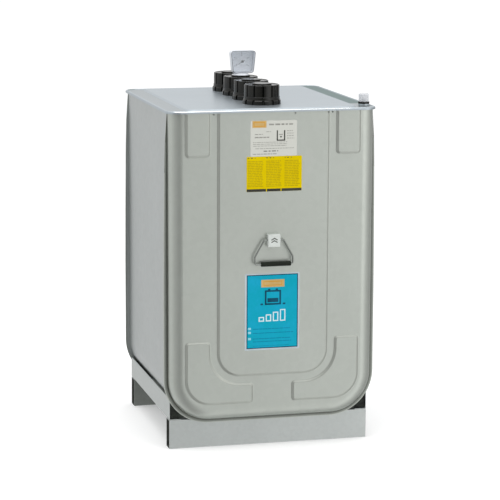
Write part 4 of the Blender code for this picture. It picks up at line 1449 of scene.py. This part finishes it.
@dataclass
class LevelGauge:
    """The level gauge's fine parts: its neck, the cover's dark bezel, the printed scale and the pointer."""

    middle_x: float = 0.0060
    neck_y: float = 0.08345
    neck_foot: float = 0.0300
    neck_head: float = 0.0225
    neck_low: float = 1.2163
    neck_sides: int = 96
    neck_wall: float = 0.2          # share of the neck's height that stands upright
    neck_flare: tuple[Pair, ...] = ((0.08, 0.10), (0.42, 0.18), (0.30, 0.22), (0.20, 0.30))
    neck_top: float = 0.008
    base: float = 1.2231
    hub_height: float = 0.0390
    top_width: float = 0.090
    bottom_width: float = 0.074
    height: float = 0.078
    corner: float = 0.010
    corner_steps: int = 8
    bezel_front: float = 0.06655
    bezel_inset: float = 0.0004     # what the bezel stays inside the cover's outline
    bezel_depth: float = 0.0014
    bezel_width: float = 0.0013
    bezel_wall: float = 0.0012
    dial_face: float = 0.09365
    pointer_middle: float = 0.08215
    start_angle: float = 212.0
    sweep: float = 244.0
    divisions: int = 12
    scale_radius: float = 0.0318
    long_stroke: Pair = (0.0052, 0.0012)
    short_stroke: Pair = (0.0030, 0.0008)
    figure_radius: float = 0.0225
    figure_size: float = 0.0085
    ink_gap: float = 0.00008
    ink: float = 0.00005
    blade: Triple = (0.0085, 0.0174, 0.0011)        # tail, reach, half breadth
    blade_taper: float = 0.42
    blade_depth: float = 0.0007
    hub_radius: float = 0.0048
    hub_sides: int = 32
    hub_depth: float = 0.0012
    hub_dome: tuple[Pair, ...] = ((0.0009, 0.0006), (0.0014, 0.0004))

    def hub(self, level: float) -> Vector:
        """Find the pointer's axis at a distance from the middle of the tank."""
        return Vector((self.middle_x, level, self.base + self.hub_height))

    def bezel(self) -> Workpiece:
        """Model the narrow dark rim that holds the cover; its dark tone also paints in the dark edge that
        the clear cover shows by refraction.

        Returns:
            A closed ring with the gauge's tapered outline.
        """
        low, high = self.base + self.bezel_inset, self.base + self.height - self.bezel_inset
        half_top, half_low = (width / 2 - self.bezel_inset for width in (self.top_width, self.bottom_width))
        work = Workpiece.plate("gauge_bezel", (self.middle_x - half_top, low),
                               (self.middle_x + half_top, high), -self.bezel_front - self.bezel_depth,
                               Facing.FRONT)
        work.pick(Domain.VERTS, lambda s: s.place.z < low + 0.001)
        work.stretch((half_low / half_top, 1.0, 1.0), (self.middle_x, 0.0, low))
        work.take(Domain.VERTS).round_corners(self.corner, self.corner_steps)
        work.take(Domain.FACES).inset((self.bezel_width, 0.0))
        bpy.ops.mesh.delete(type="FACE")
        work.wall(self.bezel_wall, inwards=False)
        work.ease_edges(0.0003, 1)
        return work.smooth(35.0)

    def neck(self) -> Workpiece:
        """Model the flared neck that stands on the cap.

        Returns:
            A round neck, wide at the foot.
        """
        work = Workpiece.disc("gauge_neck", self.neck_foot, (0.0, self.neck_y, self.neck_low),
                              self.neck_sides)
        rise = self.base - SEAT_GAP - self.neck_low
        flare = self.neck_foot - self.neck_head
        work.take(Domain.FACES).extrude((0.0, 0.0, rise * self.neck_wall))
        work.inset(*((flare * width, rise * height) for width, height in self.neck_flare),
                   (self.neck_top, 0.0))
        return work.close_rim().smooth(40.0, even=True)

    def scale(self) -> Workpiece:
        """Print the scale: short and long strokes and the figures of the quarters.

        Returns:
            The printed marks.
        """
        level = self.dial_face - self.ink_gap
        marks = []
        for step in range(self.divisions + 1):
            angle = math.radians(self.start_angle - self.sweep * step / self.divisions)
            long_one = step % 3 == 0
            stroke = self.long_stroke if long_one else self.short_stroke
            away = Vector((math.cos(angle), 0.0, math.sin(angle))) * (self.scale_radius - stroke[0] / 2)
            marks.append(Workpiece.mark("stroke", tuple(self.hub(level) + away), stroke, -angle))
            if long_one:
                marks.append(self.figure(str(step // 3), angle, level))
        scale = marks[0]
        scale.absorb(*marks[1:])
        scale.take(Domain.FACES).extrude((0.0, -self.ink, 0.0))
        scale.obj.name = "gauge_scale"
        return scale

    def figure(self, text: str, angle: float, level: float) -> Workpiece:
        """Print one figure beside its stroke.

        Args:
            text: The figure.
            angle: Where it stands round the dial.
            level: Distance of the print from the middle of the tank.

        Returns:
            The flat figure.
        """
        away = Vector((math.cos(angle), 0.0, math.sin(angle))) * self.figure_radius
        clear_selection()
        bpy.ops.object.text_add(location=tuple(self.hub(level) + away), rotation=Facing.FRONT.value)
        obj = bpy.context.object
        obj.data.body = text
        obj.data.size = self.figure_size
        obj.data.align_x = "CENTER"
        obj.data.align_y = "CENTER"
        bpy.ops.object.convert(target="MESH")
        return Workpiece("figure", bpy.context.object)

    def pointer(self) -> Workpiece:
        """Model the pointer: a tapered blade on a domed hub.

        Returns:
            The pointer at its rest angle.
        """
        hub = self.hub(self.pointer_middle)
        tail, reach, half = self.blade
        blade = Workpiece.plate("gauge_pointer", (hub.x - tail, hub.z - half),
                                (hub.x + reach, hub.z + half), -self.pointer_middle - 0.0004, Facing.FRONT)
        blade.pick(Domain.VERTS, lambda s: s.place.x > hub.x)
        blade.stretch((1.0, 1.0, self.blade_taper), tuple(hub))
        blade.take(Domain.FACES).extrude((0.0, -self.blade_depth, 0.0))
        blade.close_rim().tidy()
        cap = Workpiece.disc("pointer_hub", self.hub_radius, (hub.x, self.pointer_middle + 0.0005, hub.z),
                             self.hub_sides, Facing.FRONT)
        cap.take(Domain.FACES).extrude((0.0, -self.hub_depth, 0.0))
        cap.inset(*self.hub_dome)
        blade.absorb(cap.close_rim().tidy())
        return blade.turn(math.radians(self.start_angle), Axis.Y, tuple(hub)).smooth(35.0)

    def build(self, finishes: Finishes) -> list[Object]:
        """Build the neck, the bezel, the scale and the pointer.

        Args:
            finishes: The tank's finishes.

        Returns:
            The four pieces.
        """
        return [self.neck().fit("tank", finishes.gauge_plastic, "gauge_plastic", ["gauge_stem"]),
                self.bezel().fit("tank", finishes.bezel_plastic, "gauge_plastic"),
                self.scale().fit("tank", finishes.dial_ink, "dial_plastic"),
                self.pointer().fit("needle", finishes.needle_plastic, "needle_plastic", ["gauge_needle"])]


@dataclass
class LeakIndicatorFoot:
    """The leak indicator's foot: a grey washer in the lid's gutter and a thin black ring on it."""

    place: Pair = (0.3365, -0.279)
    floor: float = 1.1434
    top: float = 1.1543
    radius: float = 0.0192
    washer: float = 0.0038
    washer_inset: float = 0.0010
    step: float = 0.0004
    dome: float = 0.0012
    bore: float = 0.0120
    sides: int = 64

    def build(self, finishes: Finishes) -> Object:
        """Build the foot.

        Args:
            finishes: The tank's finishes.

        Returns:
            The foot.
        """
        x, y = self.place
        work = Workpiece.disc("leak_indicator_foot", self.radius - self.washer_inset, (x, y, self.floor),
                              self.sides)
        work.take(Domain.FACES).extrude((0.0, 0.0, self.washer))
        split = self.floor + self.washer
        work.inset((self.step, 0.0))
        inner = self.radius - self.washer_inset - self.step
        work.stretch((self.radius / inner,) * 2 + (1.0,), (x, y, split))
        work.extrude((0.0, 0.0, self.top - split - self.dome))
        work.inset((self.step, self.dome - self.step), (self.dome - self.step, self.step),
                   (self.radius - self.dome - self.bore, 0.0))
        work.drop_faces(lambda s: s.normal.z > 0.9 and math.hypot(s.place.x - x, s.place.y - y) < 0.001)
        work.smooth(35.0)
        # the washer gets the lid's painted highlight, to lighten the shade it stands in
        work.paint(finishes.lid_bead, lambda s: s.place.z < split - 0.0001, finishes.cap_plastic)
        return work.fit("tank", finishes.cap_plastic, "cap_plastic", ["leak_indicator_base"])


# ---------------------------------------------------------------- handles


@dataclass
class HandleBracket:
    """The bail's bracket on a panel: a folded box of bright sheet, open below, with two chevrons on it."""

    end: str
    middle: float = -0.002
    half_width: float = 0.0213
    low: float = 0.6895
    high: float = 0.7312
    depth: float = 0.0200
    sheet: float = 0.0018
    face_edge: float = 0.0026
    side_edge: float = 0.0030
    edge_steps: int = 4
    bore: float = 0.0036
    bore_sides: int = 32
    bore_half: float = 0.06
    pivot: Pair = (0.3865, 0.7125)
    sign_rises: Pair = (0.7075, 0.7155)
    sign_bar: Pair = (0.0128, 0.0036)
    sign_offset: float = 0.0050
    sign_slope: float = 30.0
    ink: float = 0.00004

    def box(self) -> Workpiece:
        """Fold the box and bore its sides for the bail.

        Returns:
            The folded sheet on the front of the tank.
        """
        face = FRONT_FACE + self.depth
        work = Workpiece.plate(f"{self.end}_bracket_box", (self.middle - self.half_width, self.low),
                               (self.middle + self.half_width, self.high), face, Facing.FRONT)
        work.pick(Domain.EDGES, lambda s: s.place.z > self.low + 0.001)
        work.extrude((0.0, self.depth - 0.0002, 0.0))
        work.pick(Domain.EDGES, lambda s: near(s.place.y, -face) and s.place.z > self.low + 0.001)
        work.soften(self.face_edge, self.edge_steps)
        work.pick(Domain.EDGES, lambda s: abs(s.run.y) > 0.9 and not s.rim)
        work.soften(self.side_edge, self.edge_steps)
        work.tidy().wall(self.sheet)
        bore = Workpiece.disc("bail_bore", self.bore, (-self.bore_half, -self.pivot[0], self.pivot[1]),
                              self.bore_sides, Facing.RIGHT)
        bore.take(Domain.FACES).extrude((2 * self.bore_half, 0.0, 0.0))
        work.join(bore.close_rim().tidy(), Joint.CUT)
        return work.smooth(35.0, even=True)

    def sign(self) -> Workpiece:
        """Print two chevrons that point upwards.

        Returns:
            The thin ink.
        """
        level = -(FRONT_FACE + self.depth) - INK_GAP
        bars = [Workpiece.mark("bar", (self.middle + side * self.sign_offset, level, rise), self.sign_bar,
                               side * math.radians(self.sign_slope))
                for rise in self.sign_rises for side in (-1.0, 1.0)]
        ink = bars[0]
        ink.absorb(*bars[1:])
        ink.take(Domain.FACES).extrude((0.0, -self.ink, 0.0))
        ink.obj.name = f"{self.end}_bracket_sign"
        return ink

    def build(self, finishes: Finishes) -> list[Object]:
        """Build the bracket and its sign.

        Args:
            finishes: The tank's finishes.

        Returns:
            The two pieces.
        """
        box, sign = self.box(), self.sign()
        if self.end == "rear":
            box.half_turn()
            sign.half_turn()
        return [box.fit("tank", finishes.bracket_sheet, "bracket_steel", [f"{self.end}_handle_bracket"]),
                sign.fit("tank", finishes.sign_ink, "bracket_steel")]


# ---------------------------------------------------------------- frame details


@dataclass
class FrameBeam:
    """A cross beam: a box section of folded sheet with open ends, with painted shade inside it and on the
    faces under the tank.
    """

    end: str
    middle: Pair

    def inside(self, spot: Spot) -> bool:
        """Tell whether a face looks into the box, where it gets painted shade."""
        away = Vector((0.0, spot.place.y - self.middle[0], spot.place.z - self.middle[1]))
        return abs(spot.normal.x) < 0.5 and away.dot(spot.normal) < -0.001

    def inward(self, spot: Spot) -> bool:
        """Tell whether a face looks towards the middle of the tank, under it, where it gets painted shade.
        """
        return spot.normal.y * math.copysign(1.0, self.middle[0]) < -0.7

    def build(self, frame: dict, finishes: Finishes) -> Object:
        """Build the beam from the CAD section.

        Args:
            frame: The loaded frame.
            finishes: The tank's finishes.

        Returns:
            The beam.
        """
        work = Workpiece.from_node(f"{self.end}_beam_section", frame["nodes"][f"{self.end}_beam"])
        work.smooth(30.0, even=True)
        # painted shade on the faces under the tank and inside the box
        work.paint(finishes.frame_dull, self.inward, finishes.frame_sheet)
        work.paint(finishes.frame_inside, self.inside, finishes.frame_sheet)
        return work.fit("tank", finishes.frame_sheet, "frame_steel", [f"{self.end}_beam"])


@dataclass
class FrameCorners:
    """Crumpled foam packing in the frame's corners, under the jacket's round edges."""

    lump: float = 0.0055
    grain: float = 0.016
    cell: float = 0.0022

    def build(self, frame: dict, finishes: Finishes) -> list[Object]:
        """Build the packing from the CAD blocks, pressed in at random.

        Args:
            frame: The loaded frame.
            finishes: The tank's finishes.

        Returns:
            The four pieces.
        """
        clouds = bpy.data.textures.new("foam_lumps", "CLOUDS")
        clouds.noise_scale = self.grain
        clouds.noise_depth = 2
        made = []
        for end in ("front", "rear"):
            for side in ("left", "right"):
                node = f"{end}_{side}_corner_pad"
                work = Workpiece.from_node(f"{end}_{side}_packing", frame["nodes"][node])
                work.modify("REMESH", mode="VOXEL", voxel_size=self.cell)
                work.modify("DISPLACE", texture=clouds, texture_coords="LOCAL", mid_level=1.0,
                            strength=self.lump)
                work.smooth(50.0)
                made.append(work.fit("tank", finishes.pad_foam, "pad_foam", [node]))
        return made


@dataclass
class RimScrews:
    """Small pan-head screws under the lid's edge, on the front and the rear."""

    places: tuple[float, ...] = (-0.2035, 0.0725, 0.1870, 0.2015)
    height: float = 1.1320
    radius: float = 0.0027
    sides: int = 20
    edge: float = 0.0008
    dome: tuple[Pair, ...] = ((0.0006, 0.0005), (0.0009, 0.0003), (0.0005, -0.0006))
    field_half: float = 0.19
    levels: Pair = (0.3732, 0.3692)      # on the wide pressed field, and beside it

    def screw(self, x: float, level: float) -> Workpiece:
        """Model one screw head on the front.

        Args:
            x: Its place across the panel.
            level: Distance of the sheet from the middle of the tank.

        Returns:
            A domed head with a round recess.
        """
        work = Workpiece.disc("screw_head", self.radius, (x, -level, self.height), self.sides,
                              Facing.FRONT)
        work.take(Domain.FACES).extrude((0.0, -self.edge, 0.0))
        work.inset(*self.dome)
        return work.smooth(35.0)

    def build(self, finishes: Finishes) -> list[Object]:
        """Build the screws of both panels.

        Args:
            finishes: The tank's finishes.

        Returns:
            One piece for each panel.
        """
        front = [self.screw(x, self.levels[abs(x) >= self.field_half]) for x in self.places]
        row = front[0]
        row.absorb(*front[1:])
        row.obj.name = "front_rim_screws"
        back = row.copy("rear_rim_screws").half_turn()
        return [piece.fit("tank", finishes.screw_zinc, "wire_steel") for piece in (row, back)]


# ---------------------------------------------------------------- labels


@dataclass(frozen=True)
class Patch:
    """A printed rectangle: its ink, and its corners in X and Z."""

    ink: str
    low: Pair
    high: Pair
    layer: int = 0

    def centre(self) -> Pair:
        """Middle of the patch."""
        return (self.low[0] + self.high[0]) / 2, (self.low[1] + self.high[1]) / 2


@dataclass(frozen=True)
class FineLines:
    """Rows of short printed dashes that stand for small print."""

    ink: str
    low: Pair
    high: Pair
    rows: int
    thickness: float
    dash: Pair = (0.004, 0.013)
    gap: float = 0.0022
    fill: float = 0.96
    layer: int = 0
    spread: float = 0.12            # how much the rows' lengths differ
    shortest: float = 0.0015

    def patches(self, seed: int) -> list[Patch]:
        """Lay out the dashes.

        Args:
            seed: Fixes the lengths of the dashes.

        Returns:
            One patch for each dash.
        """
        dice = random.Random(seed)
        made = []
        step = (self.high[1] - self.low[1]) / max(self.rows, 1)
        for row in range(self.rows):
            middle = self.high[1] - step * (row + 0.5)
            x = self.low[0]
            share = dice.uniform(self.fill - self.spread, self.fill)
            limit = self.low[0] + (self.high[0] - self.low[0]) * share
            while x < limit:
                length = min(dice.uniform(*self.dash), limit - x)
                if length > self.shortest:
                    made.append(Patch(self.ink, (x, middle - self.thickness / 2),
                                      (x + length, middle + self.thickness / 2), self.layer))
                x += length + self.gap
        return made


@dataclass
class StickerSheet:
    """A printed film label on the front panel, with rounded corners and generic print."""

    node: str
    low: Pair
    high: Pair
    film: str
    slot: str
    prints: list[Patch | FineLines] = field(default_factory=list)
    corner: float = 0.003
    corner_steps: int = 4
    thickness: float = 0.0004
    edge: float = 0.0001
    ink: float = 0.00003
    first_seed: int = 7

    def build(self, finishes: Finishes) -> list[Object]:
        """Build the film and its print.

        Args:
            finishes: The tank's finishes.

        Returns:
            The film and the print on it.
        """
        back = FRONT_FACE + SEAT_GAP
        work = Workpiece.plate(f"{self.node}_film", self.low, self.high, back, Facing.FRONT)
        work.take(Domain.VERTS).round_corners(self.corner, self.corner_steps)
        work.take(Domain.FACES).extrude((0.0, -self.thickness + self.edge, 0.0))
        work.inset((self.edge, self.edge))
        work.close_rim().tidy(1e-7).smooth(30.0)
        made = [work.fit("tank", finishes.made[self.film], self.slot, [self.node])]
        if self.prints:
            made.append(self.print_on(finishes, back + self.thickness + INK_GAP))
        return made

    def print_on(self, finishes: Finishes, level: float) -> Object:
        """Lay the print on the film as thin ink.

        Args:
            finishes: The tank's finishes.
            level: Distance of the ink's face from the middle of the tank.

        Returns:
            The printed marks as one piece.
        """
        patches: list[Patch] = []
        for index, item in enumerate(self.prints):
            patches += item.patches(index + self.first_seed) if isinstance(item, FineLines) else [item]
        inks = sorted({patch.ink for patch in patches})
        work = Workpiece.plate(f"{self.node}_print", patches[0].low, patches[0].high, level, Facing.FRONT)
        work.edit()
        for patch in patches[1:]:
            u, v = patch.centre()
            place = (u, -level - INK_GAP * patch.layer, v)
            bpy.ops.mesh.primitive_plane_add(size=1.0, rotation=Facing.FRONT.value, location=place)
            work.stretch((patch.high[0] - patch.low[0], 1.0, patch.high[1] - patch.low[1]), place)
        work.rest()
        for ink in inks:
            work.obj.data.materials.append(finishes.made[ink])
        for face, patch in zip(work.obj.data.polygons, patches):
            face.material_index = inks.index(patch.ink)
        work.take(Domain.FACES).extrude((0.0, -self.ink, 0.0))
        return work.fit("tank", finishes.made[inks[0]], self.slot)


def outline_marks(ink: str, low: Pair, high: Pair, width: float, layer: int) -> list[Patch]:
    """Draw a rectangle's outline.

    Args:
        ink: Its ink.
        low: Its lowest corner.
        high: Its highest corner.
        width: The line's width.
        layer: The ink's layer.

    Returns:
        Four patches.
    """
    return [
        Patch(ink, low, (high[0], low[1] + width), layer),
        Patch(ink, (low[0], high[1] - width), high, layer),
        Patch(ink, (low[0], low[1] + width), (low[0] + width, high[1] - width), layer),
        Patch(ink, (high[0] - width, low[1] + width), (high[0], high[1] - width), layer),
    ]


def data_label() -> StickerSheet:
    """Describe the white label: a header, a filling sketch and rows of small print.

    Returns:
        The label.
    """
    return StickerSheet("upper_label", (-0.081, 0.9905), (0.078, 1.109), "white_film", "label_white", [
        Patch("orange_ink", (-0.0745, 1.0855), (-0.0265, 1.1085)),
        *outline_marks("amber_ink", (-0.0700, 1.0895), (-0.0310, 1.1045), 0.0022, 1),
        FineLines("grey_ink", (-0.0180, 1.0925), (0.0700, 1.0990), 1, 0.0052, (0.008, 0.022), 0.004, 1.0),
        Patch("dark_ink", (0.0085, 1.041), (0.0125, 1.076)),
        Patch("dark_ink", (0.0335, 1.041), (0.0375, 1.076)),
        Patch("dark_ink", (0.0125, 1.041), (0.0335, 1.045)),
        Patch("grey_ink", (0.0165, 1.0605), (0.0295, 1.0635)),
        Patch("dark_ink", (0.0205, 1.052), (0.0255, 1.0565)),
        FineLines("grey_ink", (0.044, 1.045), (0.070, 1.078), 4, 0.0022, (0.003, 0.008)),
        FineLines("grey_ink", (-0.066, 1.0620), (-0.036, 1.0655), 1, 0.0026),
        FineLines("grey_ink", (-0.027, 1.0705), (-0.010, 1.0735), 1, 0.0022),
        FineLines("grey_ink", (-0.066, 1.0505), (-0.008, 1.0565), 1, 0.0040, (0.006, 0.016), 0.0016),
        FineLines("grey_ink", (-0.072, 1.0220), (0.050, 1.0400), 3, 0.0018),
        FineLines("grey_ink", (-0.064, 1.0135), (0.074, 1.0195), 1, 0.0020),
        FineLines("dark_ink", (-0.036, 1.0055), (0.018, 1.0100), 1, 0.0026, (0.006, 0.014), 0.004),
        FineLines("grey_ink", (-0.073, 0.9960), (0.019, 1.0005), 1, 0.0026),
    ])


def notice_label() -> StickerSheet:
    """Describe the yellow label: three columns of small print over a dark bar.

    Returns:
        The label.
    """
    prints: list[Patch | FineLines] = [
        Patch("dark_ink", (-0.0925, 0.8732), (-0.027, 0.8822)),
        Patch("dark_ink", (-0.024, 0.8732), (0.023, 0.8822)),
        Patch("dark_ink", (0.026, 0.8732), (0.0945, 0.8822)),
    ]
    for left in (-0.0900, -0.0270, 0.0360):
        prints.append(FineLines("brown_ink", (left, 0.888), (left + 0.056, 0.977), 16, 0.0030,
                                (0.005, 0.018), 0.0018))
        prints.append(FineLines("dark_ink", (left, 0.9835), (left + 0.030, 0.9875), 1, 0.0026,
                                (0.003, 0.007), 0.006))
    return StickerSheet("middle_label", (-0.0935, 0.873), (0.0955, 0.990), "yellow_film", "label_yellow",
                        prints)


def name_label() -> StickerSheet:
    """Describe the blue label: a bar, a plain tank sign, a level sign and ruled rows.

    Returns:
        The label.
    """
    low, high = (-0.0915, 0.3425), (0.0855, 0.5935)
    prints: list[Patch | FineLines] = [
        Patch("blue_film", low, high),
        *outline_marks("navy_ink", low, high, 0.0032, 1),
        Patch("orange_ink", (-0.0415, 0.5505), (0.0385, 0.5760), 1),
        *outline_marks("amber_ink", (-0.0335, 0.5560), (0.0305, 0.5705), 0.0022, 2),
    ]
    sign = (-0.0290, 0.4900), (0.0270, 0.5400)
    prints += outline_marks("navy_ink", *sign, 0.0058, 1)
    prints += [
        Patch("navy_ink", (-0.0180, 0.5400), (-0.0100, 0.5450), 1),
        Patch("navy_ink", (0.0080, 0.5400), (0.0160, 0.5450), 1),
        Patch("navy_ink", (-0.0200, 0.4990), (0.0180, 0.5130), 1),
        Patch("navy_ink", (-0.0440, 0.4900), (-0.0350, 0.4958), 1),
        Patch("navy_ink", (0.0330, 0.4900), (0.0420, 0.4958), 1),
    ]
    for index, rise in enumerate((0.016, 0.024, 0.032, 0.040)):
        left = -0.0500 + 0.0245 * index
        prints += outline_marks("pale_ink", (left, 0.4340), (left + 0.0190, 0.4340 + rise), 0.0038, 1)
    for height in (0.4110, 0.3975, 0.3765):
        prints.append(Patch("bullet_ink", (-0.0860, height - 0.0038), (-0.0765, height + 0.0038), 1))
    for height, width in ((0.4090, 0.0022), (0.3950, 0.0022), (0.3760, 0.0022), (0.3660, 0.0022),
                          (0.3510, 0.0014)):
        prints.append(FineLines("deep_ink", (-0.0700, height - 0.001), (0.0780, height + 0.001), 1, width,
                                (0.010, 0.030), 0.0014, layer=1))
    return StickerSheet("lower_label", (-0.0980, 0.337), (0.0915, 0.598), "cool_film", "label_blue", prints)


# ---------------------------------------------------------------- studio


@dataclass
class Studio:
    """A pale floor, a soft white surround, soft lamps and the camera of the photograph's view."""

    camera_place: Triple = (-1.8235, -7.1801, 1.9349)
    yaw: float = 14.362
    pitch: float = 10.135
    roll: float = 0.25
    focal_length: float = 154.95
    sensor: float = 36.0
    clipping: Pair = (0.01, 400.0)
    floor_half: float = 60.0
    floor_level: float = -0.0005
    floor_glow: float = 0.25
    ceiling: float = 0.95
    ceiling_rise: Pair = (0.30, 0.75)        # where the walls turn into the ceiling
    surround: tuple[Pair, ...] = (
        (-180.0, 0.80), (-165.0, 0.70), (-120.0, 0.74), (-80.0, 0.76), (-60.0, 0.56), (-36.0, 0.40),
        (-8.0, 0.20), (10.0, 0.42), (18.5, 1.14), (34.0, 1.32), (56.0, 0.54), (112.0, 0.34), (150.0, 0.84),
        (180.0, 0.80))

    def camera(self) -> Object:
        """Place the camera.

        Returns:
            The camera.
        """
        data = bpy.data.cameras.new("studio_camera")
        data.sensor_width = self.sensor
        data.lens = self.focal_length
        data.clip_start, data.clip_end = self.clipping
        obj = bpy.data.objects.new("studio_camera", data)
        bpy.context.scene.collection.objects.link(obj)
        yaw, pitch = math.radians(self.yaw), math.radians(self.pitch)
        ahead = Vector((math.sin(yaw) * math.cos(pitch), math.cos(yaw) * math.cos(pitch), -math.sin(pitch)))
        turn = ahead.to_track_quat("-Z", "Y").to_matrix() @ Matrix.Rotation(math.radians(self.roll), 3, "Z")
        obj.matrix_world = Matrix.Translation(self.camera_place) @ turn.to_4x4()
        bpy.context.scene.camera = obj
        return obj

    def floor(self) -> Object:
        """Lay the floor.

        Returns:
            The floor, which is marked as stage.
        """
        work = Workpiece.plate("studio_floor", (-self.floor_half, -self.floor_half),
                               (self.floor_half, self.floor_half), self.floor_level, Facing.UP)
        tree, where, material = start_material("pale_studio_floor")
        cloud = add_node(tree, "ShaderNodeTexNoise", inputs={"Vector": where, "Scale": 2.0, "Detail": 3.0})
        ramp = add_node(tree, "ShaderNodeValToRGB", inputs={"Fac": cloud.outputs["Fac"]},
                        stops=((0.3, linear("#f7f7f7")), (0.7, linear("#fafafa"))))
        shader = add_node(tree, "ShaderNodeBsdfPrincipled", inputs={
            "Base Color": ramp.outputs["Color"], "Roughness": 0.9, "Specular IOR Level": 0.1,
            "Emission Color": linear("#ffffff"), "Emission Strength": self.floor_glow})
        finish_material(tree, shader)
        work.rest()
        work.obj.data.materials.append(material)
        work.obj.visible_glossy = False
        return work.obj

    def lamp(self, name: str, place: Triple, target: Triple, size: Pair, power: float, colour: str) -> None:
        """Hang one soft lamp.

        Args:
            name: The lamp's name.
            place: Where it hangs.
            target: What it looks at.
            size: Its width and height.
            power: Its power in watts.
            colour: Its colour.
        """
        data = bpy.data.lights.new(name, "AREA")
        data.shape = "RECTANGLE"
        data.size, data.size_y = size
        data.energy = power
        data.color = linear(colour)[:3]
        obj = bpy.data.objects.new(name, data)
        bpy.context.scene.collection.objects.link(obj)
        obj.location = place
        obj.rotation_euler = (Vector(target) - Vector(place)).to_track_quat("-Z", "Y").to_euler()

    def light(self) -> None:
        """Set the surround and hang the lamps."""
        world = bpy.data.worlds.new("white_surround")
        world.use_nodes = True
        tree = world.node_tree
        tree.nodes.clear()
        way = add_node(tree, "ShaderNodeTexCoord").outputs["Generated"]
        parts = add_node(tree, "ShaderNodeSeparateXYZ", inputs={"Vector": way})
        ahead = add_node(tree, "ShaderNodeMath", {"operation": "MULTIPLY"},
                         {0: parts.outputs["Y"], 1: -1.0})
        round_it = add_node(tree, "ShaderNodeMath", {"operation": "ARCTAN2"},
                            {0: parts.outputs["X"], 1: ahead.outputs[0]})
        share = add_node(tree, "ShaderNodeMapRange", inputs={
            "Value": round_it.outputs[0], "From Min": -math.pi, "From Max": math.pi})
        stops = tuple(((angle + 180.0) / 360.0, (level, level, level, 1.0))
                      for angle, level in self.surround)
        walls = add_node(tree, "ShaderNodeValToRGB", inputs={"Fac": share.outputs["Result"]}, stops=stops)
        walls.color_ramp.interpolation = "EASE"
        height = add_node(tree, "ShaderNodeMapRange", {"interpolation_type": "SMOOTHSTEP"}, {
            "Value": parts.outputs["Z"], "From Min": self.ceiling_rise[0],
            "From Max": self.ceiling_rise[1]})
        both = add_node(tree, "ShaderNodeMix", {"data_type": "RGBA"}, {
            0: height.outputs["Result"], 6: walls.outputs["Color"], 7: (self.ceiling,) * 3 + (1.0,)})
        back = add_node(tree, "ShaderNodeBackground", inputs={"Color": both.outputs[2], "Strength": 1.0})
        add_node(tree, "ShaderNodeOutputWorld", inputs={"Surface": back.outputs[0]})
        bpy.context.scene.world = world
        self.lamp("overhead_softbox", (-0.3, -0.6, 4.2), (0.0, 0.0, 1.0), (3.0, 3.0), 60.0, "#ffffff")
        self.lamp("right_softbox", (3.6, -3.2, 1.8), (0.0, -0.3, 0.7), (3.6, 3.4), 12.0, "#fffdf8")
        view = bpy.context.scene.view_settings
        view.view_transform = "Standard"
        view.look = "None"

    def build(self) -> None:
        """Set up the whole studio."""
        self.camera()
        self.floor()
        self.light()


# ---------------------------------------------------------------- the tank


def dress_frame(frame: dict, finishes: Finishes) -> None:
    """Dress the CAD nodes that stay as they are.

    Args:
        frame: The loaded frame.
        finishes: The tank's finishes.
    """
    ends = ("front", "rear")
    for finish, nodes in (
            (finishes.frame_sheet, ("front_beam", "rear_beam", "left_rail", "right_rail")),
            (finishes.pad_foam, [f"{end}_{side}_corner_pad" for end in ends for side in ("left", "right")]),
            (finishes.side_sheet, ("side_wrap",)),
            (finishes.panel_sheet, ("front_panel", "rear_panel")),
            (finishes.lid_sheet, ("lid",)),
            (finishes.tank_plastic, ("inner_tank",)),
            (finishes.cap_plastic, ("leak_indicator_base", "gauge_cap", "screw_cap_1", "screw_cap_2",
                                    "screw_cap_4", *(f"socket_collar_{number}" for number in range(1, 5)))),
            (finishes.gauge_plastic, ("gauge_stem", "gauge_housing")),
            (finishes.dial_plastic, ("gauge_dial",)),
            (finishes.needle_plastic, ("gauge_needle",)),
            (finishes.clear_cover, ("gauge_cover",)),
            (finishes.clear_dome, ("leak_indicator_dome",)),
            (finishes.float_plastic, ("leak_float",)),
            (finishes.bracket_sheet, [f"{end}_handle_bracket" for end in ends]),
            (finishes.zinc_wire, ("front_bail", "rear_bail")),
            (finishes.grip_rubber, ("front_grip", "rear_grip")),
            (finishes.white_film, ("upper_label",)),
            (finishes.cool_film, ("lower_label",)),
            (finishes.yellow_film, ("middle_label",))):
        dress(frame, finish, *nodes)


def main() -> None:
    """Build the tank piece by piece and light it."""
    logging.basicConfig(level=logging.INFO, format="%(name)s: %(message)s")
    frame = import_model()
    finishes = Finishes()
    Studio().build()
    dress_frame(frame, finishes)
    panel = JacketPanel()
    panel.build(finishes)
    JacketWrap(panel).build(finishes)
    sockets = SocketRow()
    JacketLid().build(finishes, sockets.centres())
    sockets.build(finishes)
    for label in (data_label(), notice_label(), name_label()):
        label.build(finishes)
    LevelGauge().build(finishes)
    LeakIndicatorFoot().build(finishes)
    for end in ("front", "rear"):
        HandleBracket(end).build(finishes)
    for end, place in (("front", -BEAM_PLACE), ("rear", BEAM_PLACE)):
        FrameBeam(end, (place, BEAM_HEIGHT)).build(frame, finishes)
    FrameCorners().build(frame, finishes)
    RimScrews().build(finishes)
    clear_selection()


if __name__ == "__main__":
    main()
